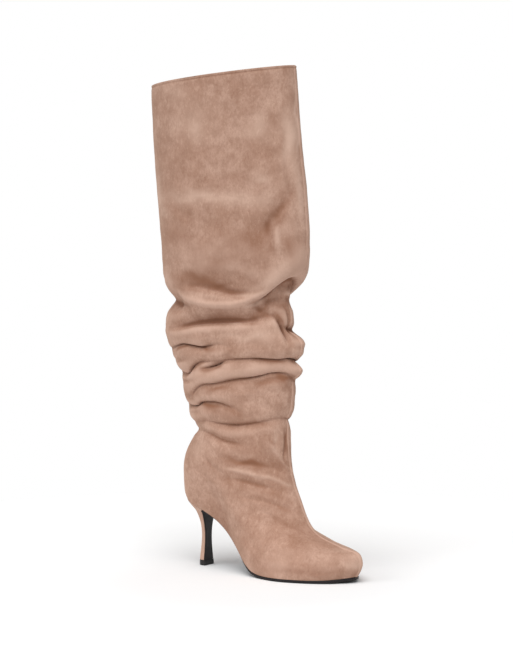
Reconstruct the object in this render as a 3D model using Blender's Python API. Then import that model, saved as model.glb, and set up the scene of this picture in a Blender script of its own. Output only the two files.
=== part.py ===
# Knee-high slouch boot for the right foot, on a slim flared heel.
# Metres, +Z up. The toe points along -Y, the outer side of the foot is -X. The origin is on the floor under
# the middle of the heel tip.
import math

import bmesh
import bpy
import numpy as np

LENGTH = 0.2255       # back of the counter to the tip of the toe, level
HEIGHT = 0.540        # floor to the collar just behind its front peak
HEEL_HEIGHT = 0.0735         # floor to the feather line at the back of the seat
BALL = 0.080          # width across the ball
DEPTH = 0.190         # front to back of the shaft at the calf
WALL = 0.002          # suede and lining together
SOLE = 0.003          # sole thickness under the ball
GAP = 0.0003          # clearance between pieces that meet
SEAM = 0.0009         # the stitched seams stand proud by this much
TOE_SPRING = 0.004    # rise of the feather line under the tip of the toe
SPRING_FROM = 0.80    # share of the length where that rise begins
BACK = 0.1045 * LENGTH    # the counter stands this far behind the middle of the heel tip
SWING = 0.04 * BALL       # the toe points this far to the inside


def curve(rows, x):
    """Smooth value at x through rows of (x, value) that never overshoots them."""
    xs = [r[0] for r in rows]
    ys = [r[1] for r in rows]
    n = len(xs)
    h = [xs[i + 1] - xs[i] for i in range(n - 1)]
    d = [(ys[i + 1] - ys[i]) / h[i] for i in range(n - 1)]
    m = [0.0] * n
    m[0] = d[0]
    m[-1] = d[-1]
    for i in range(1, n - 1):
        if d[i - 1] * d[i] > 0:
            w1 = 2 * h[i] + h[i - 1]
            w2 = h[i] + 2 * h[i - 1]
            m[i] = (w1 + w2) / (w1 / d[i - 1] + w2 / d[i])
    x = min(max(x, xs[0]), xs[-1])
    i = max(j for j in range(n - 1) if xs[j] <= x)
    t = (x - xs[i]) / h[i]
    return (
        (2 * t**3 - 3 * t * t + 1) * ys[i]
        + (t**3 - 2 * t * t + t) * h[i] * m[i]
        + (-2 * t**3 + 3 * t * t) * ys[i + 1]
        + (t**3 - t * t) * h[i] * m[i + 1]
    )


# The feather line from the side. Each row: share of the length from the counter, share of the heel's rise.
RISE = (
    (0.000, 1.040),
    (0.040, 0.995),
    (0.105, 0.915),
    (0.155, 0.850),
    (0.220, 0.745),
    (0.265, 0.640),
    (0.320, 0.480),
    (0.375, 0.315),
    (0.445, 0.125),
    (0.500, 0.035),
    (0.550, 0.006),
    (0.600, 0.000),
    (1.000, 0.000),
)


def along(share):
    """Distance forward of the heel tip for a share of the length."""
    return share * LENGTH - BACK


def feather(s):
    """Height of the feather line at a distance forward of the heel tip."""
    q = (s + BACK) / LENGTH
    base = SOLE + GAP
    t = max(0.0, (q - SPRING_FROM) / (1 - SPRING_FROM))
    return base + curve(RISE, q) * (HEEL_HEIGHT - base) + TOE_SPRING * t * t


# Angles round a ring from the front seam, in degrees, where the width columns below are given.
STATIONS = (0, 20, 40, 65, 90, 115, 140, 160, 180)
# Rings of the foot. Each row: front point (share of length, share of HEIGHT above the feather line there),
# back point (the same two), follow (1 keeps to the feather line, 0 runs straight), then the outer-side
# and inner-side fullness at each station as shares of BALL.
FOOT = (
    (0.977, 0.000, 0.016, 0.000, 1.00,
     (0.43, 0.465, 0.555, 0.585, 0.455, 0.255, 0.36, 0.52, 0.55),
     (0.42, 0.455, 0.525, 0.49, 0.375, 0.235, 0.35, 0.52, 0.55)),
    (0.993, 0.011, 0.003, 0.011, 0.97,
     (0.47, 0.50, 0.58, 0.602, 0.475, 0.285, 0.385, 0.535, 0.56),
     (0.46, 0.50, 0.575, 0.515, 0.395, 0.26, 0.375, 0.535, 0.56)),
    (1.000, 0.025, -0.002, 0.028, 0.90,
     (0.47, 0.50, 0.58, 0.605, 0.485, 0.32, 0.42, 0.55, 0.57),
     (0.46, 0.515, 0.60, 0.53, 0.41, 0.30, 0.41, 0.55, 0.57)),
    (0.980, 0.044, -0.004, 0.048, 0.78,
     (0.40, 0.43, 0.50, 0.540, 0.46, 0.355, 0.46, 0.57, 0.59),
     (0.40, 0.45, 0.53, 0.51, 0.41, 0.34, 0.45, 0.57, 0.59)),
    (0.890, 0.058, -0.003, 0.068, 0.60,
     (0.31, 0.33, 0.39, 0.455, 0.43, 0.39, 0.48, 0.56, 0.58),
     (0.31, 0.32, 0.375, 0.435, 0.40, 0.375, 0.47, 0.56, 0.58)),
    (0.740, 0.085, 0.009, 0.090, 0.38,
     (0.28, 0.30, 0.35, 0.395, 0.405, 0.415, 0.475, 0.53, 0.55),
     (0.28, 0.29, 0.33, 0.38, 0.39, 0.405, 0.47, 0.53, 0.55)),
    (0.662, 0.142, 0.030, 0.112, 0.18,
     (0.30, 0.31, 0.34, 0.38, 0.405, 0.43, 0.465, 0.49, 0.50),
     (0.30, 0.31, 0.34, 0.38, 0.40, 0.425, 0.46, 0.49, 0.50)),
    (0.610, 0.205, 0.058, 0.135, 0.05,
     (0.32, 0.33, 0.35, 0.39, 0.42, 0.44, 0.46, 0.47, 0.47),
     (0.32, 0.33, 0.35, 0.39, 0.42, 0.44, 0.46, 0.47, 0.47)),
)
# Rings of the shaft. Each row: share of HEIGHT at the front, at the back, front point and back point as
# shares of length, half width as a share of DEPTH, and how far the fullness leans to the back.
SHAFT = (
    (0.288, 0.283, 0.598, 0.070, 0.178, 0.14),
    (0.320, 0.316, 0.608, 0.030, 0.182, 0.14),
    (0.350, 0.346, 0.620, 0.012, 0.190, 0.15),
    (0.385, 0.380, 0.634, -0.010, 0.198, 0.16),
    (0.430, 0.425, 0.662, -0.054, 0.208, 0.17),
    (0.460, 0.452, 0.664, -0.092, 0.212, 0.18),
    (0.495, 0.488, 0.624, -0.106, 0.216, 0.18),
    (0.540, 0.530, 0.630, -0.106, 0.220, 0.19),
    (0.590, 0.580, 0.694, -0.112, 0.228, 0.20),
    (0.660, 0.648, 0.708, -0.126, 0.232, 0.20),
    (0.760, 0.748, 0.692, -0.148, 0.230, 0.21),
    (0.860, 0.845, 0.662, -0.170, 0.225, 0.22),
    (0.964, 0.938, 0.640, -0.184, 0.220, 0.24),
    (1.008, 0.975, 0.632, -0.184, 0.218, 0.25),
)
# Folds of the slouched shaft. Each row: reach above the crease and reach below it as shares of DEPTH, how far
# the lip above hangs down over it as a share of the depth of the crease, how crisp it is (0 is a soft trough,
# 1 a sharp crease), then stops of (degrees round from the front seam, share of HEIGHT, depth as a share of
# DEPTH). A negative depth is a roll that stands out.
FOLDS = (
    # the big fold over: the upper tube hangs over the lower one, from the front round the inner side
    (0.052, 0.085, 0.42, 0.8,
     ((300, 0.530, 0.000), (312, 0.545, 0.026), (321, 0.560, 0.050), (330, 0.578, 0.070),
      (343, 0.592, 0.076), (360, 0.593, 0.072), (385, 0.572, 0.068), (410, 0.542, 0.066),
      (440, 0.540, 0.060), (472, 0.554, 0.055), (500, 0.574, 0.048), (525, 0.588, 0.036),
      (545, 0.592, 0.018), (562, 0.592, 0.000))),
    # its soft end on the outer side, where the tube only tapers
    (0.100, 0.036, 0.0, 0.1,
     ((222, 0.582, 0.000), (238, 0.580, 0.014), (256, 0.577, 0.028), (273, 0.571, 0.036),
      (288, 0.567, 0.034), (300, 0.569, 0.022), (317, 0.580, 0.000))),
    # the lip below it
    (0.024, 0.024, 0.0, 0.0,
     ((224, 0.568, 0.000), (236, 0.557, -0.006), (246, 0.547, -0.012), (261, 0.541, -0.016),
      (285, 0.5365, -0.016), (300, 0.546, -0.014), (312, 0.561, -0.008), (326, 0.575, 0.000))),
    # the notch at the back between the tube and the roll under it
    (0.085, 0.060, 0.1, 0.5,
     ((140, 0.560, 0.000), (165, 0.552, 0.030), (190, 0.543, 0.066), (212, 0.537, 0.090),
      (228, 0.535, 0.080), (240, 0.535, 0.040), (252, 0.532, 0.012), (263, 0.530, 0.000))),
    # the hollow under the lip at the front
    (0.040, 0.060, 0.0, 0.1,
     ((304, 0.528, 0.000), (318, 0.533, 0.028), (334, 0.545, 0.044), (350, 0.551, 0.042),
      (375, 0.543, 0.028), (400, 0.530, 0.000))),
    # upright crease from the hollow down the front
    (0.024, 0.024, 0.0, 0.7,
     ((330, 0.530, 0.000), (335, 0.516, 0.022), (341, 0.496, 0.030), (342, 0.476, 0.026),
      (338, 0.458, 0.000))),
    # soft trough round the outer side
    (0.068, 0.028, 0.1, 0.3,
     ((214, 0.487, 0.000), (232, 0.491, 0.028), (250, 0.498, 0.046), (273, 0.505, 0.053),
      (291, 0.507, 0.050), (309, 0.510, 0.040), (322, 0.515, 0.026), (338, 0.522, 0.000))),
    # deep short crease at the back of the outer side
    (0.032, 0.036, 0.5, 1.0,
     ((180, 0.442, 0.000), (200, 0.444, 0.016), (216, 0.448, 0.028), (234, 0.457, 0.042),
      (246, 0.456, 0.046), (256, 0.4535, 0.040), (265, 0.456, 0.026), (273, 0.459, 0.012),
      (281, 0.460, 0.000))),
    # the roll beside it at the front
    (0.040, 0.034, 0.0, 0.0,
     ((338, 0.468, 0.000), (350, 0.466, -0.016), (368, 0.464, -0.026), (388, 0.464, -0.016),
      (404, 0.466, 0.000))),
    # long crease under it, right round to the front
    (0.030, 0.040, 0.5, 0.75,
     ((188, 0.402, 0.000), (206, 0.400, 0.050), (222, 0.400, 0.070), (236, 0.411, 0.050),
      (249, 0.421, 0.030), (262, 0.425, 0.024), (285, 0.431, 0.026), (304, 0.434, 0.034),
      (318, 0.435, 0.048), (330, 0.434, 0.044), (345, 0.436, 0.050), (362, 0.433, 0.050),
      (385, 0.426, 0.047), (420, 0.432, 0.042), (455, 0.440, 0.040), (490, 0.436, 0.024),
      (515, 0.430, 0.000))),
    # rising crease to the hollow at the front
    (0.030, 0.044, 0.5, 0.75,
     ((202, 0.354, 0.000), (214, 0.351, 0.012), (225, 0.354, 0.022), (235, 0.366, 0.030),
      (249, 0.377, 0.030), (262, 0.380, 0.028), (285, 0.391, 0.030), (300, 0.396, 0.038),
      (312, 0.402, 0.052), (325, 0.407, 0.052), (342, 0.404, 0.032), (360, 0.392, 0.016),
      (378, 0.390, 0.016), (395, 0.392, 0.030), (430, 0.400, 0.044), (465, 0.398, 0.036),
      (500, 0.385, 0.020), (525, 0.375, 0.000))),
    # the roll above its front end
    (0.034, 0.050, 0.0, 0.0,
     ((334, 0.412, 0.000), (348, 0.412, -0.018), (366, 0.409, -0.028), (386, 0.410, -0.016),
      (402, 0.412, 0.000))),
    # short ones at the back under it
    (0.024, 0.034, 0.4, 0.9,
     ((188, 0.333, 0.000), (208, 0.332, 0.048), (226, 0.334, 0.062), (243, 0.341, 0.034),
      (256, 0.343, 0.028), (266, 0.342, 0.024), (274, 0.338, 0.018), (283, 0.332, 0.012),
      (294, 0.321, 0.000))),
    (0.030, 0.034, 0.4, 0.6,
     ((185, 0.298, 0.000), (212, 0.297, 0.020), (232, 0.302, 0.018), (247, 0.303, 0.018),
      (264, 0.300, 0.026), (282, 0.299, 0.030), (297, 0.302, 0.028), (315, 0.307, 0.024),
      (334, 0.313, 0.020), (358, 0.313, 0.022), (395, 0.304, 0.026), (440, 0.300, 0.026),
      (480, 0.306, 0.000))),
    # the inner side
    (0.045, 0.036, 0.2, 0.5,
     ((20, 0.500, 0.000), (45, 0.498, 0.018), (80, 0.506, 0.026), (120, 0.520, 0.024),
      (160, 0.528, 0.000))),
    (0.030, 0.036, 0.5, 0.9,
     ((85, 0.468, 0.000), (110, 0.474, 0.024), (140, 0.470, 0.036), (170, 0.464, 0.034),
      (195, 0.462, 0.016), (208, 0.462, 0.000))),
    (0.028, 0.036, 0.4, 0.7,
     ((22, 0.345, 0.000), (50, 0.345, 0.022), (85, 0.356, 0.028), (120, 0.350, 0.024),
      (155, 0.340, 0.016), (180, 0.338, 0.000))),
    # the ankle
    (0.030, 0.036, 0.2, 0.4,
     ((160, 0.284, 0.000), (195, 0.283, 0.020), (218, 0.282, 0.022), (234, 0.281, 0.020),
      (249, 0.276, 0.014), (267, 0.266, 0.012), (282, 0.262, 0.008), (298, 0.255, 0.000))),
    (0.030, 0.034, 0.0, 0.2,
     ((250, 0.192, 0.000), (273, 0.189, 0.006), (291, 0.186, 0.009), (306, 0.180, 0.009),
      (320, 0.173, 0.007), (345, 0.163, 0.000))),
    # the buckle high on the outer side
    (0.060, 0.050, 0.0, 0.1,
     ((338, 0.790, 0.000), (332, 0.758, 0.006), (321, 0.723, 0.012), (312, 0.700, 0.012),
      (304, 0.675, 0.008), (297, 0.655, 0.000))),
)


def strokes():
    """Each fold as reaches, hang, crispness and a fine path of (angle in radians, height, depth) in metres."""
    made = []
    for up, down, hang, crisp, stops in FOLDS:
        n = len(stops)
        ts = np.linspace(0, n - 1, 6 * (n - 1) + 1)
        path = np.array([[spline([p[j] for p in stops], t) for j in range(3)] for t in ts])
        path[:, 0] = np.radians(path[:, 0])
        path[:, 1] *= HEIGHT
        path[:, 2] *= DEPTH
        made.append((up * DEPTH, down * DEPTH, hang, crisp, path))
    return made


def crease_shape(v, crisp):
    """Share of a crease's depth at v times its reach away: a soft trough where crisp is 0, a cusp where it is 1."""
    return crisp * np.exp(-(np.sqrt(v * v + 0.09) - 0.3) * 1.6) + (1 - crisp) * np.exp(-1.2 * v * v)


def fold_at(made, u, z, half_long, half_wide):
    """Inward depth and downward hang at angle u and height z (arrays) for sections of the given half sizes."""
    depth = np.zeros_like(z)
    hang = np.zeros_like(z)
    reach = np.sqrt((half_long * np.sin(u)) ** 2 + (half_wide * np.cos(u)) ** 2)
    for up, down, share, crisp, path in made:
        best = np.full(z.shape, 1e9)
        side = np.zeros_like(z)
        deep = np.zeros_like(z)
        for k in range(len(path) - 1):
            u0, z0, d0 = path[k]
            u1, z1, d1 = path[k + 1]
            turn = 2 * math.pi * np.round((u - (u0 + u1) / 2) / (2 * math.pi))
            px = (u - turn - u0) * reach
            pz = z - z0
            ax = (u1 - u0) * reach
            az = z1 - z0
            t = np.clip((px * ax + pz * az) / (ax * ax + az * az + 1e-12), 0, 1)
            gx = px - t * ax
            gz = pz - t * az
            near = np.hypot(gx, gz)
            take = near < best
            best = np.where(take, near, best)
            side = np.where(take, gz, side)
            deep = np.where(take, d0 + (d1 - d0) * t, deep)
        above = 0.5 + 0.5 * np.tanh(side / (0.2 * up))
        v = best / (down + (up - down) * above)
        depth += deep * crease_shape(v, crisp)
        hang += share * deep * above * v * np.exp(1 - 1.6 * v) * 1.2
    return depth, hang


def spline(values, t):
    """Catmull-Rom through the values, t in index units."""
    n = len(values)
    t = min(max(t, 0.0), n - 1.0)
    i = min(int(t), n - 2)
    f = t - i
    p1, p2 = values[i], values[i + 1]
    p0 = values[i - 1] if i > 0 else 2 * p1 - p2
    p3 = values[i + 2] if i + 2 < n else 2 * p2 - p1
    return p1 + 0.5 * f * (p2 - p0 + f * (2 * p0 - 5 * p1 + 4 * p2 - p3 + f * (3 * (p1 - p2) + p3 - p0)))


def ring_keys():
    """All rings in one list: front s and z, back s and z, follow, outer and inner fullness in metres."""
    keys = []
    for fs, fz, bs, bz, follow, outer, inner in FOOT:
        s_f, s_b = along(fs), along(bs)
        keys.append((s_f, feather(s_f) + fz * HEIGHT, s_b, feather(s_b) + bz * HEIGHT, follow,
                     tuple(v * BALL for v in outer), tuple(v * BALL for v in inner)))
    for zf, zb, fs, bs, half, lean in SHAFT:
        row = tuple(half * DEPTH * (1 - lean * math.cos(math.radians(a))) for a in STATIONS)
        keys.append((along(fs), zf * HEIGHT, along(bs), zb * HEIGHT, 0.0, row, row))
    return keys


KEYS = ring_keys()


def ring_at(t):
    """The ring at t in index units as a tuple like a row of KEYS."""
    flat = [[k[0], k[1], k[2], k[3], k[4], *k[5], *k[6]] for k in KEYS]
    n = len(flat[0])
    out = [spline([row[j] for row in flat], t) for j in range(n)]
    c = 5 + len(STATIONS)
    return out[0], out[1], out[2], out[3], min(max(out[4], 0.0), 1.0), out[5:c], out[c:]


def ring_point(ring, u):
    """Point at angle u (0 front seam, growing to the inner side, pi back seam) of a ring, before folds."""
    s_f, z_f, s_b, z_b, follow, outer, inner = ring
    p = (1 + math.cos(u)) / 2
    s = s_b + (s_f - s_b) * p
    deg = math.degrees(math.acos(min(max(math.cos(u), -1.0), 1.0)))
    full = inner if math.sin(u) >= 0 else outer
    m = curve(list(zip(STATIONS, full)), deg)
    z = z_b + (z_f - z_b) * p
    z += follow * (feather(s) - (feather(s_b) * (1 - p) + feather(s_f) * p))
    toe = min(max((s + BACK) / LENGTH, 0.0), 1.0)
    x = math.sin(u) * m + SWING * toe * toe * min(1.0, max(0.0, 1.6 - z / (0.25 * HEIGHT)))
    return np.array([x, -s, z])


# How the rings are spaced: each row is a span of the ring list and the number of rings laid over it.
SPANS = ((0.0, 1.0, 2), (1.0, 4.0, 5), (4.0, 8.0, 8), (8.0, 16.6, 28), (16.6, 20.9, 8))
SIDE_LINES = 21       # lines along the boot on each side between the two seams
SEAM_HALF = 0.0034 * HEIGHT     # half width of the raised seam band


def ring_steps():
    """Ring parameters from the feather line to the collar."""
    ts = [0.0]
    for a, b, n in SPANS:
        ts.extend(a + (b - a) * (k + 1) / n for k in range(n))
    ts[-1] = len(KEYS) - 1.0
    return ts


def line_angles(full_front, full_back):
    """Angles round one ring and the share of the seam height on each line."""
    a0 = math.asin(min(0.5, SEAM_HALF / full_front))
    b0 = math.asin(min(0.5, 1.55 * SEAM_HALF / full_front))
    a1 = math.pi - math.asin(min(0.5, SEAM_HALF / full_back))
    b1 = math.pi - math.asin(min(0.5, 1.55 * SEAM_HALF / full_back))
    half = [(0.0, 0.75), (a0, 1.0), (b0, 0.0)]
    half += [(b0 + (b1 - b0) * (k + 1) / (SIDE_LINES + 1), 0.0) for k in range(SIDE_LINES)]
    half += [(b1, 0.0), (a1, 1.0)]
    ring = half + [(math.pi, 0.75)] + [(2 * math.pi - u, w) for u, w in reversed(half[1:])]
    return ring


def surface_normals(grid):
    """Outward unit normals of a closed-round grid."""
    across = np.roll(grid, -1, 1) - np.roll(grid, 1, 1)
    up = np.gradient(grid, axis=0)
    n = np.cross(across, up)
    return n / (np.linalg.norm(n, axis=2, keepdims=True) + 1e-12)


def upper_grids():
    """Outer and inner skins of the upper as grids of points."""
    ts = ring_steps()
    rings = [ring_at(t) for t in ts]
    lines = [line_angles(0.5 * (r[5][0] + r[6][0]), 0.5 * (r[5][-1] + r[6][-1])) for r in rings]
    outer = np.array([[ring_point(r, u) for u, _ in ln] for r, ln in zip(rings, lines)])
    u = np.array([[a for a, _ in ln] for ln in lines])
    seam = np.array([[w for _, w in ln] for ln in lines]) * SEAM
    half_long = np.array([[(r[0] - r[2]) / 2] * u.shape[1] for r in rings])
    half_wide = np.array([[r[5][4]] * u.shape[1] for r in rings])
    deep, hang = fold_at(strokes(), u, outer[..., 2], half_long, half_wide)
    inward = np.stack([-np.sin(u) * (0.35 + 0.65 * np.sin(u) ** 2), np.cos(u), np.zeros_like(u)], axis=2)
    outer = outer + inward * deep[..., None]
    outer[..., 2] -= hang
    seam *= 1 - np.clip(deep / (0.06 * DEPTH), 0, 0.85)
    normal = surface_normals(outer)
    soft = normal + 0.7 * (np.roll(normal, 1, 1) + np.roll(normal, -1, 1))
    inner = outer - soft / np.linalg.norm(soft, axis=2, keepdims=True) * WALL
    flat = normal[0] * np.array([1.0, 1.0, 0.0])
    flat /= np.linalg.norm(flat, axis=1, keepdims=True)
    inner[0] = outer[0] - flat * WALL
    top = normal[-1] * np.array([1.0, 1.0, 0.0])
    top /= np.linalg.norm(top, axis=1, keepdims=True)
    inner[-1] = outer[-1] - top * WALL
    raised = outer + normal * seam[..., None]
    raised[0] = outer[0] + flat * seam[0][:, None] * 0.3
    return raised, inner


def material(name, colour, rough, sheen=0.0):
    """A plain Principled material."""
    mat = bpy.data.materials.new(name)
    mat.use_nodes = True
    shader = mat.node_tree.nodes["Principled BSDF"]
    shader.inputs["Base Color"].default_value = (*colour, 1.0)
    shader.inputs["Roughness"].default_value = rough
    shader.inputs["Sheen Weight"].default_value = sheen
    return mat


def solid(name, points, faces, mat, smooth=True):
    """One named object from points and faces, merged, triangulated and turned outward."""
    mesh = bpy.data.meshes.new(name)
    mesh.from_pydata([tuple(p) for p in points], [], [tuple(f) for f in faces])
    obj = bpy.data.objects.new(name, mesh)
    bpy.context.collection.objects.link(obj)
    bm = bmesh.new()
    bm.from_mesh(mesh)
    bmesh.ops.remove_doubles(bm, verts=bm.verts, dist=0.00001)
    bmesh.ops.triangulate(bm, faces=bm.faces)
    bmesh.ops.recalc_face_normals(bm, faces=bm.faces)
    bm.to_mesh(mesh)
    bm.free()
    for face in mesh.polygons:
        face.use_smooth = smooth
    mesh.materials.append(mat)
    return obj


def tube_faces(rings, round_count, start=0):
    """Quads between stacked closed rings of points."""
    faces = []
    for i in range(rings - 1):
        for j in range(round_count):
            k = (j + 1) % round_count
            a = start + i * round_count
            b = a + round_count
            faces.append((a + j, a + k, b + k, b + j))
    return faces


def build_upper(mat, outer, inner):
    rows, n = outer.shape[:2]
    points = np.vstack([outer.reshape(-1, 3), inner.reshape(-1, 3)])
    base = rows * n
    faces = tube_faces(rows, n)
    faces += [tuple(reversed(f)) for f in tube_faces(rows, n, base)]
    for j in range(n):
        k = (j + 1) % n
        faces.append((k, j, base + j, base + k))
        t = (rows - 1) * n
        faces.append((t + j, t + k, base + t + k, base + t + j))
    return solid("upper", points, faces, mat)


def feather_lines():
    """The feather line's stations from the toe to the back: distance forward, outer edge, inner edge."""
    s_f, _, s_b, _, _, outer, inner = KEYS[0]
    front = 0.5 * (outer[0] + inner[0])
    back = 0.5 * (outer[-1] + inner[-1])
    ring = line_angles(front, back)
    lines = []
    for u, _ in ring[: len(ring) // 2 + 1]:
        right = ring_point(KEYS[0], u)
        left = ring_point(KEYS[0], -u)
        lines.append((-right[1], left[0], right[0]))
    return lines


def at_station(lines, s):
    """The feather line's edges and height at a distance forward, straight between its stations."""
    for (s0, l0, r0), (s1, l1, r1) in zip(lines, lines[1:]):
        if s1 <= s <= s0:
            t = (s0 - s) / (s0 - s1)
            return l0 + (l1 - l0) * t, r0 + (r1 - r0) * t, feather(s0) + (feather(s1) - feather(s0)) * t
    return lines[-1][1], lines[-1][2], feather(lines[-1][0])


def plate(name, stations, mat):
    """A bent plate from stations of (top left, top right, bottom right, bottom left) points."""
    points = [p for st in stations for p in st]
    faces = tube_faces(len(stations), 4)
    faces.append((3, 2, 1, 0))
    m = 4 * (len(stations) - 1)
    faces.append((m, m + 1, m + 2, m + 3))
    return solid(name, points, faces, mat, smooth=False)


INSOLE_THICK = 0.0018
BLUNT = 0.0002        # half width left at the insole's two ends


def build_insole(mat, inner):
    """The insole fills the lower edge of the upper, line for line."""
    ring = inner[0]
    n = len(ring)
    across = np.roll(ring, -1, 0) - np.roll(ring, 1, 0)
    flat = np.stack([across[:, 1], -across[:, 0]], 1)
    flat /= np.linalg.norm(flat, axis=1, keepdims=True)
    centre = ring[:, :2].mean(0)
    if np.sum(flat * (ring[:, :2] - centre)) < 0:
        flat = -flat
    edge = ring[:, :2] - flat * GAP
    stations = []
    for k in range(n // 2 + 1):
        x_l, y_l = edge[(n - k) % n]
        x_r, y_r = edge[k]
        if k in (0, n // 2):
            x_l -= BLUNT
            x_r += BLUNT
        z_l, z_r = feather(-y_l) + 0.5 * GAP, feather(-y_r) + 0.5 * GAP
        up = INSOLE_THICK
        stations.append(((x_l, y_l, z_l + up), (x_r, y_r, z_r + up), (x_r, y_r, z_r), (x_l, y_l, z_l)))
    return plate("insole", stations, mat)


# The sole from the breast of the heel forward. Thickness columns: share of the length, share of SOLE.
THICK = ((0.00, 0.60), (0.20, 0.62), (0.34, 0.70), (0.48, 0.92), (0.54, 1.00), (0.90, 1.00), (1.00, 0.92))
# How far the sole's edge sits in from the feather line: share of the length, share of BALL.
TUCK = ((0.00, 0.030), (0.20, 0.030), (0.34, 0.020), (0.46, 0.004), (0.54, -0.006), (0.80, -0.007), (1.00, -0.007))
FLAP = 0.0012         # the sole's flap down the breast of the heel
NEAR = 0.001          # stations nearer the seat's front corner than this are left out


# Heel block. Each row: height over the tip's middle as a share of HEEL_HEIGHT, how much of the seat's slope it keeps,
# back and front as shares of HEEL_HEIGHT forward of the tip, half width as a share of HEEL_HEIGHT.
BLOCK = (
    (0.868, 0.85, -0.226, 0.085, 0.225),
    (0.825, 0.60, -0.155, 0.068, 0.178),
    (0.772, 0.35, -0.112, 0.058, 0.146),
    (0.700, 0.15, -0.078, 0.052, 0.118),
    (0.620, 0.00, -0.056, 0.050, 0.096),
    (0.520, 0.00, -0.045, 0.049, 0.080),
    (0.400, 0.00, -0.044, 0.049, 0.076),
    (0.240, 0.00, -0.058, 0.049, 0.089),
    (0.086, 0.00, -0.073, 0.050, 0.110),
)
SEAT_FRONT = 0.120     # front corner of the seat as a share of HEEL_HEIGHT


def breast_line():
    """The front face of the heel block from the seat down: distance forward, height, half width."""
    zero = feather(0.0)
    line = []
    for z, tilt, _, front, half in BLOCK:
        s = front * HEEL_HEIGHT
        line.append((s, z * HEEL_HEIGHT + tilt * (feather(s) - zero), half * HEEL_HEIGHT))
    return line


def build_outsole(mat):
    lines = feather_lines()
    s_seat = SEAT_FRONT * HEEL_HEIGHT + 0.5 * NEAR
    left, right, _ = at_station(lines, s_seat)
    stations = []
    for s, left, right in [ln for ln in lines if ln[0] > s_seat + 2 * NEAR] + [(s_seat, left, right)]:
        q = (s + BACK) / LENGTH
        tuck = curve(TUCK, q) * BALL
        top = at_station(lines, s)[2] - GAP
        low = top - curve(THICK, q) * SOLE
        if right - left < 0.1 * NEAR:
            s -= tuck
            tuck = -FLAP
        left += tuck
        right -= tuck
        stations.append(((left, -s, top), (right, -s, top), (right, -s, low), (left, -s, low)))
    line = breast_line()
    for k, (s, z, half) in enumerate(line):
        before = line[max(k - 1, 0)]
        after = line[min(k + 1, len(line) - 1)]
        ds = before[0] - after[0]
        dz = before[1] - after[1]
        size = math.hypot(ds, dz)
        ns, nz = dz / size, -ds / size
        near = (s + ns * GAP * 1.1, z + nz * GAP * 1.1)
        far = (s + ns * (GAP + FLAP), z + nz * (GAP + FLAP))
        stations.append((
            (-half, -near[0], near[1]), (half, -near[0], near[1]),
            (half, -far[0], far[1]), (-half, -far[0], far[1]),
        ))
    return plate("outsole", stations, mat)


TIP_ROUND = 20        # flat sides round the back of the heel tip
# The heel tip: height, back, front and half width as shares of HEEL_HEIGHT.
TIP = (0.082, -0.076, 0.071, 0.113)
TIP_BULGE = 1.03      # the tip swells by this much just above the floor


D_FULL = 0.85         # under 1 the back of the D is fuller than an ellipse


def d_ring(back, front, half, height_of, angles):
    """A D-shaped ring: flat in front, round behind."""
    ring = []
    for a in angles:
        x = -half * math.cos(a)
        s = front - (front - back) * math.sin(a) ** D_FULL
        ring.append((x, -s, height_of(s)))
    return ring


def build_heel(mat):
    lines = feather_lines()
    front = SEAT_FRONT * HEEL_HEIGHT
    seat = [ln for ln in lines if ln[0] < front - NEAR]
    left, right, z = at_station(lines, front)
    back = seat[-1][0]
    halves = [(front, left, right, z)] + [(s, lo, hi, feather(s)) for s, lo, hi in seat]
    points = [(lo, -s, z - GAP) for s, lo, hi, z in halves]
    points += [(hi, -s, z - GAP) for s, lo, hi, z in reversed(halves[:-1])]
    angles = [math.asin(min(1.0, ((front - h[0]) / (front - back)) ** (1 / D_FULL))) for h in halves]
    angles += [math.pi - a for a in reversed(angles[:-1])]
    zero = feather(0.0)
    for z, tilt, back, front, half in BLOCK:

        def height(s, z=z * HEEL_HEIGHT, tilt=tilt):
            return z + tilt * (feather(s) - zero)

        points += d_ring(back * HEEL_HEIGHT, front * HEEL_HEIGHT, half * HEEL_HEIGHT, height, angles)
    n = len(angles)
    faces = tube_faces(len(BLOCK) + 1, n)
    base = n * len(BLOCK)
    for k in range(n // 2):
        a, b, c, d = k, k + 1, n - 2 - k, n - 1 - k
        cap = (a, b, d) if b == c else (a, b, c, d)
        faces.append(cap)
        faces.append(tuple(base + i for i in reversed(cap)))
    return solid("heel", points, faces, mat)


def build_tip(mat):
    top, back, front, half = (share * HEEL_HEIGHT for share in TIP)
    points = []
    angles = [math.pi * j / TIP_ROUND for j in range(TIP_ROUND + 1)]
    for z, grow in ((0.0, 1.0), (0.12 * top, TIP_BULGE), (top, 1.0)):
        points += d_ring(back * grow, front * grow, half * grow, lambda s, z=z: z, angles)
    n = TIP_ROUND + 1
    faces = tube_faces(3, n)
    faces.append(tuple(reversed(range(n))))
    faces.append(tuple(range(2 * n, 3 * n)))
    return solid("heel_tip", points, faces, mat, smooth=False)


def main():
    for obj in list(bpy.data.objects):
        bpy.data.objects.remove(obj, do_unlink=True)
    suede = material("suede", (0.48, 0.30, 0.21), 0.95, 0.6)
    lining = material("lining", (0.50, 0.38, 0.27), 0.7)
    black = material("sole_black", (0.018, 0.015, 0.016), 0.42)
    rubber = material("tip_rubber", (0.012, 0.011, 0.011), 0.55)
    outer, inner = upper_grids()
    build_upper(suede, outer, inner)
    build_insole(lining, inner)
    build_outsole(black)
    build_heel(suede)
    build_tip(rubber)


main()
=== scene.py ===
import math

import bpy
import bmesh
import numpy as np
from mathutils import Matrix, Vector, noise


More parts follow.
